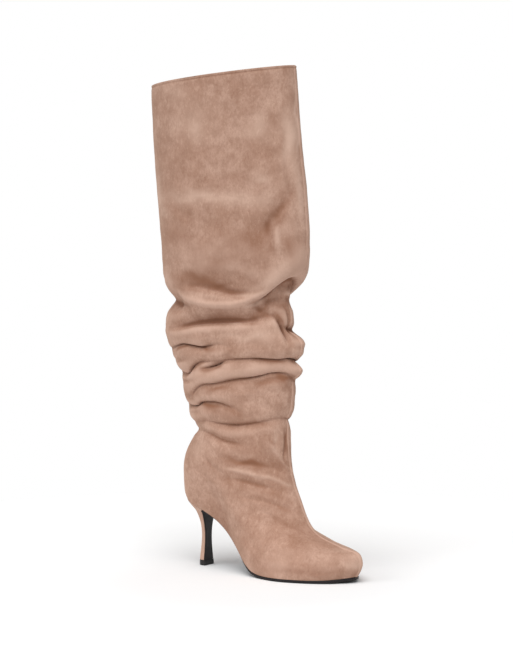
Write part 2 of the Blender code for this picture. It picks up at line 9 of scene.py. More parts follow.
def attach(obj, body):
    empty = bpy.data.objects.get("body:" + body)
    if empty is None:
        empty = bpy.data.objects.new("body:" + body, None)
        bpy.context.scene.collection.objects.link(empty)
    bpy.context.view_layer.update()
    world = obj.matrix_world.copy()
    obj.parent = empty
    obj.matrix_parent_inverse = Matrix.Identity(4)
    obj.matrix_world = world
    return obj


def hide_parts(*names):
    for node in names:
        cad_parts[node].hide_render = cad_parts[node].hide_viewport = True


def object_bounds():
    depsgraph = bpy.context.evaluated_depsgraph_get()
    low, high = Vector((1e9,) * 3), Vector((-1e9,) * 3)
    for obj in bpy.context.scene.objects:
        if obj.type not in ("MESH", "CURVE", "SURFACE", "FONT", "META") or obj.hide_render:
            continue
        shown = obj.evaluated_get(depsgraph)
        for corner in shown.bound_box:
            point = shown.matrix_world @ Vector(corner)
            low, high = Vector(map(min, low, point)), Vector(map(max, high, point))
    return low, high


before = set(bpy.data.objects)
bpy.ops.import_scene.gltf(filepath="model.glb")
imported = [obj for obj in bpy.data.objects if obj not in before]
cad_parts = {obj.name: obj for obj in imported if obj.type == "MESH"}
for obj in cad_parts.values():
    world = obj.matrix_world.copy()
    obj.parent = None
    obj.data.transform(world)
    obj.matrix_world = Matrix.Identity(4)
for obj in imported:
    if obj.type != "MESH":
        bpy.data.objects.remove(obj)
cad_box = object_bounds()

LENGTH = 0.2255       # back of the counter to the tip of the toe, level
HEIGHT = 0.540        # floor to the collar just behind its front peak
HEEL_HEIGHT = 0.0735  # floor to the feather line at the back of the seat
BALL = 0.080          # width across the ball
DEPTH = 0.190         # front to back of the shaft at the calf
WALL = 0.002          # suede and lining together
SOLE = 0.003          # sole thickness under the ball
GAP = 0.0003          # clearance between pieces that meet
SEAM = 0.0009         # the stitched seams stand proud by this much
TOE_SPRING = 0.004    # rise of the feather line under the tip of the toe
SPRING_FROM = 0.80    # share of the length where that rise begins
BACK = 0.1045 * LENGTH    # the counter stands this far behind the middle of the heel tip
SWING = 0.04 * BALL       # the toe points this far to the inside

# The feather line from the side. Each row: share of the length from the counter, share of the heel's rise.
RISE = (
    (0, 1.04), (0.04, 0.995), (0.105, 0.915), (0.155, 0.85), (0.22, 0.745), (0.265, 0.64), (0.32, 0.48),
    (0.375, 0.315), (0.445, 0.125), (0.5, 0.035), (0.55, 0.006), (0.6, 0), (1, 0),
)
# Angles round a ring from the front seam, in degrees, where the width columns below are given.
STATIONS = (0, 20, 40, 65, 90, 115, 140, 160, 180)
# Rings of the foot. Each row: front point (share of length, share of HEIGHT above the feather line there),
# back point (the same two), follow (1 keeps to the feather line, 0 runs straight), then the outer-side
# and inner-side fullness at each station as shares of BALL.
FOOT = (
    (0.977, 0, 0.016, 0, 1,
     (0.43, 0.465, 0.555, 0.585, 0.455, 0.255, 0.36, 0.52, 0.55),
     (0.42, 0.455, 0.525, 0.49, 0.375, 0.235, 0.35, 0.52, 0.55)),
    (0.993, 0.011, 0.003, 0.011, 0.97,
     (0.47, 0.5, 0.58, 0.602, 0.475, 0.285, 0.385, 0.535, 0.56),
     (0.46, 0.5, 0.575, 0.515, 0.395, 0.26, 0.375, 0.535, 0.56)),
    (1, 0.025, -0.002, 0.028, 0.9,
     (0.47, 0.5, 0.58, 0.605, 0.485, 0.32, 0.42, 0.55, 0.57),
     (0.46, 0.515, 0.6, 0.53, 0.41, 0.3, 0.41, 0.55, 0.57)),
    (0.98, 0.044, -0.004, 0.048, 0.78,
     (0.4, 0.43, 0.5, 0.54, 0.46, 0.355, 0.46, 0.57, 0.59),
     (0.4, 0.45, 0.53, 0.51, 0.41, 0.34, 0.45, 0.57, 0.59)),
    (0.89, 0.058, -0.003, 0.068, 0.6,
     (0.31, 0.33, 0.39, 0.455, 0.43, 0.39, 0.48, 0.56, 0.58),
     (0.31, 0.32, 0.375, 0.435, 0.4, 0.375, 0.47, 0.56, 0.58)),
    (0.74, 0.085, 0.009, 0.09, 0.38,
     (0.28, 0.3, 0.35, 0.395, 0.405, 0.415, 0.475, 0.53, 0.55),
     (0.28, 0.29, 0.33, 0.38, 0.39, 0.405, 0.47, 0.53, 0.55)),
    (0.662, 0.142, 0.03, 0.112, 0.18,
     (0.3, 0.31, 0.34, 0.38, 0.405, 0.43, 0.465, 0.49, 0.5),
     (0.3, 0.31, 0.34, 0.38, 0.4, 0.425, 0.46, 0.49, 0.5)),
    (0.61, 0.205, 0.058, 0.135, 0.05,
     (0.32, 0.33, 0.35, 0.39, 0.42, 0.44, 0.46, 0.47, 0.47),
     (0.32, 0.33, 0.35, 0.39, 0.42, 0.44, 0.46, 0.47, 0.47)),
)
# Rings of the shaft. Each row: share of HEIGHT at the front, at the back, front point and back point as
# shares of length, half width as a share of DEPTH, and how far the fullness leans to the back.
SHAFT = (
    (0.288, 0.283, 0.598, 0.07, 0.178, 0.14),
    (0.32, 0.316, 0.608, 0.03, 0.182, 0.14),
    (0.35, 0.346, 0.62, 0.012, 0.19, 0.15),
    (0.385, 0.38, 0.634, -0.01, 0.198, 0.16),
    (0.43, 0.425, 0.662, -0.054, 0.208, 0.17),
    (0.46, 0.452, 0.664, -0.092, 0.212, 0.18),
    (0.495, 0.488, 0.624, -0.106, 0.216, 0.18),
    (0.54, 0.53, 0.63, -0.106, 0.22, 0.19),
    (0.59, 0.58, 0.694, -0.112, 0.228, 0.2),
    (0.66, 0.648, 0.708, -0.126, 0.232, 0.2),
    (0.76, 0.748, 0.692, -0.148, 0.23, 0.21),
    (0.86, 0.845, 0.662, -0.17, 0.225, 0.22),
    (0.964, 0.938, 0.64, -0.184, 0.22, 0.24),
    (1.008, 0.975, 0.632, -0.184, 0.218, 0.25),
)
THOUSAND = 1000       # the shares in the three tables of strokes below are in thousandths
# Folds of the slouched shaft. Each row: reach above the crease and below it in thousandths of DEPTH, how far
# the lip above hangs over it as a share of the depth of the crease, how crisp it is (0 is a soft trough, 1 a
# sharp crease), then stops of (degrees round from the front seam, thousandths of HEIGHT, depth in
# thousandths of DEPTH). A negative depth is a roll that stands out.
FOLDS = (
    # the big fold over: the upper tube hangs over the lower one, from the front round the inner side
    (52, 85, 0.42, 0.8, ((300, 530, 0), (312, 545, 26), (321, 560, 50), (330, 578, 70), (343, 592, 76),
     (360, 593, 72), (385, 572, 68), (410, 542, 66), (440, 540, 60), (472, 554, 55), (500, 574, 48),
     (525, 588, 36), (545, 592, 18), (562, 592, 0))),
    # its soft end on the outer side, where the tube only tapers
    (100, 36, 0, 0.1, ((222, 582, 0), (238, 580, 14), (256, 577, 28), (273, 571, 36), (288, 567, 34),
     (300, 569, 22), (317, 580, 0))),
    # the lip below it
    (24, 24, 0, 0, ((224, 568, 0), (236, 557, -6), (246, 547, -12), (261, 541, -16), (285, 536.5, -16),
     (300, 546, -14), (312, 561, -8), (326, 575, 0))),
    # the notch at the back between the tube and the roll under it
    (85, 60, 0.1, 0.5, ((140, 560, 0), (165, 552, 30), (190, 543, 66), (212, 537, 90), (228, 535, 80),
     (240, 535, 40), (252, 532, 12), (263, 530, 0))),
    # the hollow under the lip at the front
    (40, 60, 0, 0.1, ((304, 528, 0), (318, 533, 28), (334, 545, 44), (350, 551, 42), (375, 543, 28),
     (400, 530, 0))),
    # upright crease from the hollow down the front
    (24, 24, 0, 0.7, ((330, 530, 0), (335, 516, 22), (341, 496, 30), (342, 476, 26), (338, 458, 0))),
    # soft trough round the outer side
    (68, 28, 0.1, 0.3, ((214, 487, 0), (232, 491, 28), (250, 498, 46), (273, 505, 53), (291, 507, 50),
     (309, 510, 40), (322, 515, 26), (338, 522, 0))),
    # deep short crease at the back of the outer side
    (32, 36, 0.5, 1, ((180, 442, 0), (200, 444, 16), (216, 448, 28), (234, 457, 42), (246, 456, 46),
     (256, 453.5, 40), (265, 456, 26), (273, 459, 12), (281, 460, 0))),
    # the roll beside it at the front
    (40, 34, 0, 0, ((338, 468, 0), (350, 466, -16), (368, 464, -26), (388, 464, -16), (404, 466, 0))),
    # long crease under it, right round to the front
    (30, 40, 0.5, 0.75, ((188, 402, 0), (206, 400, 50), (222, 400, 70), (236, 411, 50), (249, 421, 30),
     (262, 425, 24), (285, 431, 26), (304, 434, 34), (318, 435, 48), (330, 434, 44), (345, 436, 50),
     (362, 433, 50), (385, 426, 47), (420, 432, 42), (455, 440, 40), (490, 436, 24), (515, 430, 0))),
    # rising crease to the hollow at the front
    (30, 44, 0.5, 0.75, ((202, 354, 0), (214, 351, 12), (225, 354, 22), (235, 366, 30), (249, 377, 30),
     (262, 380, 28), (285, 391, 30), (300, 396, 38), (312, 402, 52), (325, 407, 52), (342, 404, 32),
     (360, 392, 16), (378, 390, 16), (395, 392, 30), (430, 400, 44), (465, 398, 36), (500, 385, 20),
     (525, 375, 0))),
    # the roll above its front end
    (34, 50, 0, 0, ((334, 412, 0), (348, 412, -18), (366, 409, -28), (386, 410, -16), (402, 412, 0))),
    # short ones at the back under it
    (24, 34, 0.4, 0.9, ((188, 333, 0), (208, 332, 48), (226, 334, 62), (243, 341, 34), (256, 343, 28),
     (266, 342, 24), (274, 338, 18), (283, 332, 12), (294, 321, 0))),
    (30, 34, 0.4, 0.6, ((185, 298, 0), (212, 297, 20), (232, 302, 18), (247, 303, 18), (264, 300, 26),
     (282, 299, 30), (297, 302, 28), (315, 307, 24), (334, 313, 20), (358, 313, 22), (395, 304, 26),
     (440, 300, 26), (480, 306, 0))),
    # the inner side
    (45, 36, 0.2, 0.5, ((20, 500, 0), (45, 498, 18), (80, 506, 26), (120, 520, 24), (160, 528, 0))),
    (30, 36, 0.5, 0.9, ((85, 468, 0), (110, 474, 24), (140, 470, 36), (170, 464, 34), (195, 462, 16),
     (208, 462, 0))),
    (28, 36, 0.4, 0.7, ((22, 345, 0), (50, 345, 22), (85, 356, 28), (120, 350, 24), (155, 340, 16),
     (180, 338, 0))),
    # the ankle
    (30, 36, 0.2, 0.4, ((160, 284, 0), (195, 283, 20), (218, 282, 22), (234, 281, 20), (249, 276, 14),
     (267, 266, 12), (282, 262, 8), (298, 255, 0))),
    (30, 34, 0, 0.2, ((250, 192, 0), (273, 189, 6), (291, 186, 9), (306, 180, 9), (320, 173, 7),
     (345, 163, 0))),
    # the buckle high on the outer side
    (60, 50, 0, 0.1, ((338, 790, 0), (332, 758, 6), (321, 723, 12), (312, 700, 12), (304, 675, 8),
     (297, 655, 0))),
)
# Smaller creases that the solids leave out, in the same columns as FOLDS.
WRINKLES = (
    # the pinch that closes the deep short crease
    (12, 12, 0, 0, ((272, 458, 0), (281, 456, 3), (284, 449, 5), (282, 441, 4), (274, 436, 3),
     (262, 434, 0))),
    # the front outline: the recess under the lip of the tube, and the pinch above the next roll
    (55, 40, 0, 0, ((316, 552, 0), (330, 562, 22), (344, 571, 52), (362, 572, 54), (380, 560, 30),
     (398, 546, 0))),
    (30, 26, 0, 0.2, ((342, 496, 0), (351, 490, 24), (360, 487, 44), (378, 486, 30), (408, 490, 0))),
    # the wedge under the long crease
    (10, 34, 0.4, 0.8, ((248, 406, 0), (256, 411, 20), (263, 417, 42), (269, 421.5, 36), (274, 424, 12),
     (280, 426, 0))),
    # the blunt end of the roll above the long crease
    (24, 20, 0, 0, ((338, 448, 0), (350, 447, -12), (368, 446, -14), (388, 447, 0))),
    # small notches of the back outline
    (14, 14, 0.2, 0.5, ((196, 378, 0), (214, 379, 14), (229, 382, 12), (244, 388, 0))),
    (12, 12, 0.2, 0.5, ((196, 424, 0), (214, 422, 12), (228, 425, 10), (240, 431, 0))),
    (12, 12, 0.1, 0.4, ((198, 316, 0), (215, 315, 10), (232, 318, 6), (246, 320, 0))),
    # fine line under the front lip and beside the upright crease
    (12, 12, 0, 0.5, ((346, 545, 0), (352, 520, 10), (354, 490, 12), (350, 462, 0))),
    (12, 18, 0.2, 0.7, ((308, 536, 0), (318, 530, 8), (328, 520, 12), (335, 512, 0))),
    # the recess below the right end of the rising crease
    (14, 30, 0.2, 0.4, ((302, 384, 0), (313, 388, 12), (328, 392, 14), (344, 388, 0))),
    (10, 10, 0, 0.3, ((306, 378, 0), (309, 362, 6), (311, 346, 0))),
    (10, 10, 0, 0.3, ((322, 380, 0), (326, 366, 6), (332, 350, 0))),
    # creases across the ankle
    (20, 16, 0, 0.5, ((234, 281, 0), (249, 275, 6), (267, 266, 7), (283, 262, 4), (298, 256, 0))),
    (26, 18, 0, 0.2, ((260, 230, 0), (276, 228, 6), (294, 223, 10), (309, 220, 9), (325, 214, 6),
     (342, 203, 0))),
    (18, 14, 0, 0.1, ((256, 208, 0), (279, 207, -5), (300, 201, -7), (321, 194, -6), (340, 187, 0))),
    (16, 14, 0, 0.3, ((264, 190, 0), (280, 189, 2), (293, 185, 4), (307, 179, 4), (320, 173, 3),
     (336, 166, 0))),
    (18, 14, 0, 0.3, ((276, 154, 0), (290, 153, 5), (304, 149, 7), (316, 142, 8), (330, 135, 6),
     (350, 121, 0))),
    (16, 14, 0, 0.2, ((290, 135, 0), (302, 125, 4), (314, 110, 5), (328, 96, 4), (342, 84, 0))),
    # upright creases and the slanting ridge at the front of the ankle
    (14, 14, 0, 0.2, ((335, 292, 0), (333, 270, 4), (331, 252, 3), (329, 236, 0))),
    (13, 11, 0, 0.4, ((352, 294, 0), (352, 272, 12), (349, 250, 12), (345, 232, 4), (350, 216, 0))),
    (12, 12, 0, 0.3, ((363, 292, 0), (362, 270, 6), (361, 250, 4), (361, 230, 0))),
    (10, 11, 0, 0.2, ((315, 276, 0), (321, 264, -7), (327, 252, -10), (334, 239, -10), (348, 217, -8),
     (364, 203, -6), (378, 178, 0))),
    (24, 22, 0, 0.1, ((310, 254, 0), (322, 232, 5), (336, 214, 6), (352, 198, 0))),
    # soft flattening either side of the counter
    (18, 18, 0, 0.2, ((236, 238, 0), (246, 222, 4), (258, 207, 4), (268, 194, 0))),
    # the buckle's branches and the crease beside the front seam of the tube
    (16, 18, 0, 0.5, ((342, 772, 0), (334, 750, 5), (326, 728, 9), (318, 708, 10), (312, 696, 6),
     (304, 686, 0))),
    (14, 14, 0, 0.4, ((313, 712, 0), (313, 690, 7), (314, 668, 7), (318, 640, 0))),
    (14, 14, 0, 0.1, ((318, 708, 0), (319, 686, -6), (321, 660, -6), (327, 630, 0))),
    (22, 22, 0, 0.1, ((338, 950, 0), (338, 885, 3), (335, 825, 5), (335, 780, 7), (341, 740, 6),
     (345, 700, 4), (344, 650, 0))),
    (34, 28, 0, 0, ((226, 790, 0), (236, 756, 4), (244, 722, 5), (256, 706, 3), (270, 704, 0))),
    # the same kind of small folds on the inner side
    (12, 18, 0.4, 0.8, ((60, 452, 0), (80, 458, 14), (100, 459, 16), (118, 452, 0))),
    (12, 18, 0.4, 0.8, ((40, 382, 0), (62, 388, 12), (84, 386, 14), (104, 378, 0))),
    (14, 18, 0.3, 0.6, ((100, 320, 0), (124, 325, 12), (150, 322, 12), (172, 314, 0))),
    (18, 18, 0, 0.4, ((40, 262, 0), (62, 255, 8), (88, 262, 9), (112, 270, 0))),
    (18, 18, 0, 0.4, ((34, 206, 0), (56, 198, 8), (80, 202, 8), (104, 210, 0))),
    (20, 18, 0, 0.3, ((24, 160, 0), (44, 152, 7), (66, 156, 7), (88, 164, 0))),
    (30, 30, 0, 0.1, ((30, 700, 0), (52, 676, 10), (80, 660, 10), (110, 668, 0))),
    (24, 24, 0, 0.1, ((70, 780, 0), (90, 752, 8), (104, 720, 8), (112, 690, 0))),
)
# Painted light and shade laid into the suede's colour, with patches where the nap lies paler or darker:
# painted shade in the folds' recesses, creases and undersides, painted light on crests and lips. Each row:
# degrees round from the front seam, thousandths of HEIGHT, half length and half width in thousandths of
# DEPTH, how steeply it rises toward the front in degrees, and strength (above 0 paler, under 0 darker).
SHADES = (
    # the upper tube
    (250, 955, 100, 50, 0, 0.3), (262, 900, 160, 90, 0, 0.3), (264, 880, 50, 50, 0, 0.35),
    (312, 893, 60, 50, 0, 0.5), (307, 868, 80, 45, 0, 0.35), (341, 860, 160, 50, 86, 0.75),
    (308, 787, 60, 35, 0, 0.5), (213, 760, 100, 50, 88, 0.5), (262, 750, 240, 36, -2, 0.6),
    (298, 742, 120, 36, 0, 0.3), (225, 715, 50, 30, 0, 0.4), (204, 925, 140, 45, 90, -0.45),
    (266, 836, 140, 40, 0, -0.25), (252, 803, 50, 40, 0, -0.25), (290, 783, 80, 32, -8, -0.35),
    (327, 733, 110, 34, 56, -0.45), (327, 730, 80, 11, 54, -0.3), (258, 712, 45, 25, 0, -0.3),
    (240, 674, 130, 42, 6, -0.45),
    # the lower half of the tube, with painted shade under its belly
    (296, 668, 170, 70, 0, -0.5), (320, 664, 80, 11, 104, 0.55), (313, 684, 60, 12, 96, -0.45),
    (331, 656, 50, 12, 104, -0.4), (343, 614, 70, 30, 40, -0.5), (280, 628, 110, 45, 10, -0.35),
    (246, 612, 60, 30, 0, 0.3), (336, 632, 70, 30, 90, -0.35), (257, 586, 140, 32, -6, -0.85),
    (274, 576, 80, 20, -2, -0.45), (316, 594, 130, 32, 30, 0.45), (268, 640, 350, 100, 0, -0.22),
    (303, 562, 90, 14, 14, 0.4), (264, 611, 120, 30, 0, -0.6), (347, 760, 120, 24, 88, 0.45),
    (256, 452, 60, 10, 2, -0.5),
    # the slouch: painted shade in the soft trough's band and the recesses, painted light on the crests of
    # the rolls
    (286, 511, 240, 36, 6, -0.48), (262, 497, 110, 24, 6, -0.12), (294, 500, 60, 12, 4, 0.4),
    (352, 520, 100, 30, 85, -0.35), (315, 478, 90, 50, 0, 0.45), (233, 450, 50, 50, 0, -0.25),
    (246, 417, 60, 20, 20, -0.4), (322, 408, 80, 24, -4, -0.35), (336, 394, 50, 26, -10, -0.6),
    (343, 374, 60, 20, 115, -0.45), (312, 385, 60, 20, 10, -0.3), (234, 352, 60, 28, 45, -0.4),
    (252, 334, 90, 28, 0, -0.75), (284, 330, 60, 20, -28, -0.35), (300, 304, 130, 22, 3, -0.4),
    (215, 316, 40, 40, 0, 0.3), (270, 355, 100, 30, 10, 0.15), (262, 388, 100, 20, 14, 0.2),
    # painted shade in the dark pockets of the creases
    (309, 428, 50, 12, 0, -0.75), (330, 427, 90, 16, 0, -0.85), (252, 417, 80, 22, 6, -0.5),
    (272, 411, 50, 12, 8, -0.8), (262, 408, 110, 14, 3, -0.45), (240, 405, 50, 20, 0, -0.5),
    (246, 452, 90, 11, 0, -1), (266, 455, 50, 11, 6, -0.9), (229, 450, 40, 12, 10, -0.9),
    (266, 372, 130, 14, 12, -0.45), (345, 392, 60, 20, 0, -0.6), (258, 336, 70, 12, 4, -0.4),
    (292, 303, 110, 12, 4, -0.35), (324, 530, 60, 18, 24, -0.45), (344, 520, 30, 80, 0, -0.2),
    (250, 570, 120, 26, 0, -0.3), (306, 541, 70, 12, 14, 0.5), (320, 561, 90, 14, 32, 0.65),
    (292, 477, 120, 24, 2, 0.25), (224, 424, 40, 24, 0, -0.35), (322, 510, 80, 18, 4, -0.6),
    (342, 506, 30, 20, 0, -0.4), (248, 393, 70, 14, 10, -0.55), (280, 396, 60, 12, 4, -0.35),
    (262, 374, 60, 13, 10, -0.5), (318, 378, 60, 30, 0, -0.35), (338, 632, 60, 30, 60, -0.4),
    (355, 905, 200, 12, 90, 0.6), (331, 512, 12, 60, 0, 0.4), (322, 417, 100, 20, -4, -0.25),
    (326, 383, 90, 30, -5, -0.35), (262, 322, 120, 30, 0, -0.2), (240, 330, 50, 20, 0, -0.3),
    # the ankle and the foot: painted shade in creases and near the sole, painted light on ridges and the toe
    (294, 223, 130, 24, -6, -0.85), (297, 222, 60, 12, -6, -0.35), (297, 246, 80, 28, -10, -0.25),
    (264, 273, 100, 18, -14, -0.3), (333, 266, 70, 24, 80, 0.45), (276, 207, 60, 12, -2, 0.3),
    (309, 199, 90, 13, -10, 0.35), (337, 188, 60, 14, -14, 0.3), (351, 262, 60, 13, 90, -0.6),
    (330, 264, 30, 14, -40, -0.45), (320, 141, 110, 12, -18, -0.35), (316, 110, 80, 14, -30, -0.25),
    (251, 217, 80, 12, -58, -0.3), (231, 238, 70, 40, -80, 0.3), (352, 42, 110, 55, 0, 0.55),
    (330, 230, 50, 30, -30, -0.35), (300, 182, 110, 11, -8, -0.45), (270, 181, 90, 24, -8, -0.4),
    (312, 160, 100, 22, -16, -0.25), (240, 170, 80, 80, 0, -0.12), (309, 80, 180, 120, 0, -0.18),
    (340, 70, 160, 70, 0, -0.22), (276, 97, 60, 100, 40, -0.08), (292, 30, 140, 40, 0, -0.45),
    (322, 22, 180, 30, 0, -0.4),
)
# The sole from the breast of the heel forward. Thickness columns: share of the length, share of SOLE.
THICK = ((0, 0.6), (0.2, 0.62), (0.34, 0.7), (0.48, 0.92), (0.54, 1), (0.9, 1), (1, 0.92))
# How far the sole's edge sits in from the feather line: share of the length, share of BALL.
TUCK = ((0, 0.03), (0.2, 0.03), (0.34, 0.02), (0.46, 0.004), (0.54, -0.006), (0.8, -0.007), (1, -0.007))
# Heel block. Each row, in shares of HEEL_HEIGHT but for the second column: height over the tip's middle, how
# much of the seat's slope it keeps, back and front forward of the tip's middle, half width.
BLOCK = (
    (0.868, 0.85, -0.226, 0.085, 0.225),
    (0.825, 0.6, -0.155, 0.068, 0.178),
    (0.772, 0.35, -0.112, 0.058, 0.146),
    (0.7, 0.15, -0.078, 0.052, 0.118),
    (0.62, 0, -0.056, 0.05, 0.096),
    (0.52, 0, -0.045, 0.049, 0.08),
    (0.4, 0, -0.044, 0.049, 0.076),
    (0.24, 0, -0.058, 0.049, 0.089),
    (0.086, 0, -0.073, 0.05, 0.11),
)

SLIT = 0.0017           # half width of the dark line down a sharp crease: a deeper cut, and painted shade
SLIT_DEPTH = 0.12       # how much deeper that line cuts, as a share of the crease's depth
DRAWN_FROM = (0.002, 0.009)     # the painted shade line comes in between these depths of the crease
SHADED_FROM = (0.009, 0.0125)   # and fades between these, where the fold shades itself
HANG_MOST = 1.2         # factor on the hang of the lip
RAGGED = 0.007          # how far the edges of the painted patches of light, shade and nap wander
# Soft unevenness of the suede. Each row: size of the lumps and a seed for their noise, how they are squeezed
# along the axes, height, then its share where the shaft is smooth and what the slack shaft adds.
UNEVEN = (
    (0.050, 3.1, (1, 1, 1.6), 0.0016, 0.35, 0.65),
    (0.022, 7.7, (0.8, 0.8, 2.2), 0.0008, 0.25, 1),
    (0.009, 1.3, (0.6, 0.6, 2), 0.00025, 0.3, 1),
)
# Rings over the ring list for the outer skin and for the lining: a span, and how many rings lie over it.
SKIN_SPANS = ((0, 1, 8), (1, 4, 36), (4, 8, 78), (8, 16, 150), (16, 20, 46), (20, 20.84, 8), (20.84, 21, 9))
SKIN_LINES = 96
LINING_SPANS = ((0, 1, 4), (1, 4, 14), (4, 8, 26), (8, 16, 60), (16, 21, 26))
LINING_LINES = 40
SEAM_HALF = 0.0034 * HEIGHT     # half width of the raised seam band
SEAM_RIDGE = 0.62 * SEAM_HALF   # its two ridges run this far from its middle
BEHIND = 0.0001         # clearance of the lining behind the suede
TURNED = 0.012          # the suede turns in over the collar by this much
RIM_STEPS = 8           # steps round the turned edge
TURN_STEPS = 4          # and down its inside
RIM_LINE = 0.0028       # the line of stitches lies this far under the collar's edge
RIM_GROOVE = 0.00035    # depth of that line
FINE_BULGE = 0.0009     # a small ridge this high takes the whole painted highlight, a groove this deep the whole painted shade and so does a broad one of this size
WIDE_BULGE = 0.0042     # and so is a broad one of this size
INSOLE_THICK = 0.0018
INSOLE_LINES = 90
SOLE_LINES = 150
FLAP = 0.0012           # leather of the sole run down the front of the heel
NEAR = 0.001            # twice the gap between the sole and the seat's front corner
SEAT_FRONT = 0.120      # front corner of the seat as a share of HEEL_HEIGHT
SEAT_LINES = 400
EDGE = 0.0006           # rounding of the sole's edges
TIP_EASE = 0.0005       # rounding of the tip's edges
TIP = (0.082, -0.076, 0.071, 0.113)     # height, back, front and half width as shares of HEEL_HEIGHT
D_FULL = 0.85           # how fast the heel's D shape fills out from its flat front


def curve(xs, ys, x):
    """Smooth values at x through the stops, never overshooting them."""
    xs = np.asarray(xs, float)
    ys = np.asarray(ys, float)
    h = np.diff(xs)
    d = np.diff(ys) / h
    m = np.zeros_like(ys)
    m[0], m[-1] = d[0], d[-1]
    for i in range(1, len(xs) - 1):
        if d[i - 1] * d[i] > 0:
            w1, w2 = 2 * h[i] + h[i - 1], h[i] + 2 * h[i - 1]
            m[i] = (w1 + w2) / (w1 / d[i - 1] + w2 / d[i])
    x = np.clip(np.asarray(x, float), xs[0], xs[-1])
    i = np.clip(np.searchsorted(xs, x, side="right") - 1, 0, len(h) - 1)
    t = (x - xs[i]) / h[i]
    return (
        (2 * t**3 - 3 * t * t + 1) * ys[i]
        + (t**3 - 2 * t * t + t) * h[i] * m[i]
        + (3 * t * t - 2 * t**3) * ys[i + 1]
        + (t**3 - t * t) * h[i] * m[i + 1]
    )


def spline(rows, t):
    """Catmull-Rom through the rows of an array, t in index units."""
    rows = np.asarray(rows, float)
    n = len(rows)
    t = min(max(t, 0.0), n - 1.0)
    i = min(int(t), n - 2)
    f = t - i
    p1, p2 = rows[i], rows[i + 1]
    p0 = rows[i - 1] if i > 0 else 2 * p1 - p2
    p3 = rows[i + 2] if i + 2 < n else 2 * p2 - p1
    return p1 + 0.5 * f * (p2 - p0 + f * (2 * p0 - 5 * p1 + 4 * p2 - p3 + f * (3 * (p1 - p2) + p3 - p0)))


def smoothstep(a, b, x):
    """0 below a and 1 above b, eased between them."""
    t = np.clip((x - a) / (b - a), 0, 1)
    return t * t * (3 - 2 * t)


def along(share):
    """Distance forward of the heel tip for a share of the length."""
    return share * LENGTH - BACK


def feather(s):
    """Height of the feather line at a distance forward of the heel tip."""
    q = (np.asarray(s, float) + BACK) / LENGTH
    base = SOLE + GAP
    t = np.maximum(0.0, (q - SPRING_FROM) / (1 - SPRING_FROM))
    return base + curve(*zip(*RISE), q) * (HEEL_HEIGHT - base) + TOE_SPRING * t * t


def ring_keys():
    """One row of numbers for each ring: front s and z, back s and z, follow, outer and inner fullness."""
    keys = []
    for fs, fz, bs, bz, follow, outer, inner in FOOT:
        s_f, s_b = along(fs), along(bs)
        head = (s_f, float(feather(s_f)) + fz * HEIGHT, s_b, float(feather(s_b)) + bz * HEIGHT, follow)
        keys.append(head + tuple(v * BALL for v in outer + inner))
    for zf, zb, fs, bs, half, lean in SHAFT:
        row = tuple(half * DEPTH * (1 - lean * math.cos(math.radians(a))) for a in STATIONS)
        keys.append((along(fs), zf * HEIGHT, along(bs), zb * HEIGHT, 0.0) + row + row)
    return np.array(keys)


KEYS = ring_keys()
OUTER = 5                       # a row of KEYS holds its outer widths from this column
INNER = OUTER + len(STATIONS)   # and its inner ones from this
WIDEST = OUTER + STATIONS.index(90)


def ring_points(ring, u):
    """Points at the angles u round a ring, before folds: 0 is the front seam, growing to the inner side."""
    s_f, z_f, s_b, z_b, follow = ring[:5]
    follow = min(max(follow, 0.0), 1.0)
    c = np.cos(u)
    p = (1 + c) / 2
    s = s_b + (s_f - s_b) * p
    deg = np.degrees(np.arccos(np.clip(c, -1, 1)))
    outer = curve(STATIONS, ring[OUTER:INNER], deg)
    inner = curve(STATIONS, ring[INNER:], deg)
    m = np.where(np.sin(u) >= 0, inner, outer)
    z = z_b + (z_f - z_b) * p
    z = z + follow * (feather(s) - (feather(s_b) * (1 - p) + feather(s_f) * p))
    toe = np.clip((s + BACK) / LENGTH, 0, 1)
    x = np.sin(u) * m + SWING * toe * toe * np.clip(1.6 - z / (0.25 * HEIGHT), 0, 1)
    return np.stack([x, -s, z], axis=-1)


def line_angles(front, back, count):
    """Angles round one ring, even between the seams and close beside them."""
    edge = np.array([0.0, 0.25, 0.5, 0.75, 1.0, 1.3, 1.6, 2.2, 3.0]) * SEAM_HALF
    a = np.arcsin(np.clip(edge / front, 0, 0.7))
    b = math.pi - np.arcsin(np.clip(edge[::-1] / back, 0, 0.7))
    mid = a[-1] + (b[0] - a[-1]) * np.arange(1, count + 1) / (count + 1)
    half = np.concatenate([a, mid, b])
    return np.concatenate([half, (2 * math.pi - half[1:-1])[::-1]])


def stroke_paths(folds):
    """Each fold as reaches, hang, crispness and a fine path of angle, height and depth in metres."""
    made = []
    for up, down, hang, crisp, stops in folds:
        n = len(stops)
        stops = np.array(stops) / (1, THOUSAND, THOUSAND)
        ts = np.linspace(0, n - 1, 7 * (n - 1) + 1)
        path = np.array([spline(stops, t) for t in ts])
        path[:, 0] = np.radians(path[:, 0])
        path[:, 1] *= HEIGHT
        path[:, 2] *= DEPTH
        path[:, 2] = np.where(abs(path[:, 2]) < 1e-5, 0, path[:, 2])
        made.append((up / THOUSAND * DEPTH, down / THOUSAND * DEPTH, hang, crisp, path))
    return made


def crease_shape(v, crisp):
    """Share of a crease's depth at v times its reach away: a soft trough at crisp 0, a cusp at 1."""
    return crisp * np.exp(-(np.sqrt(v * v + 0.09) - 0.3) * 1.6) + (1 - crisp) * np.exp(-1.2 * v * v)


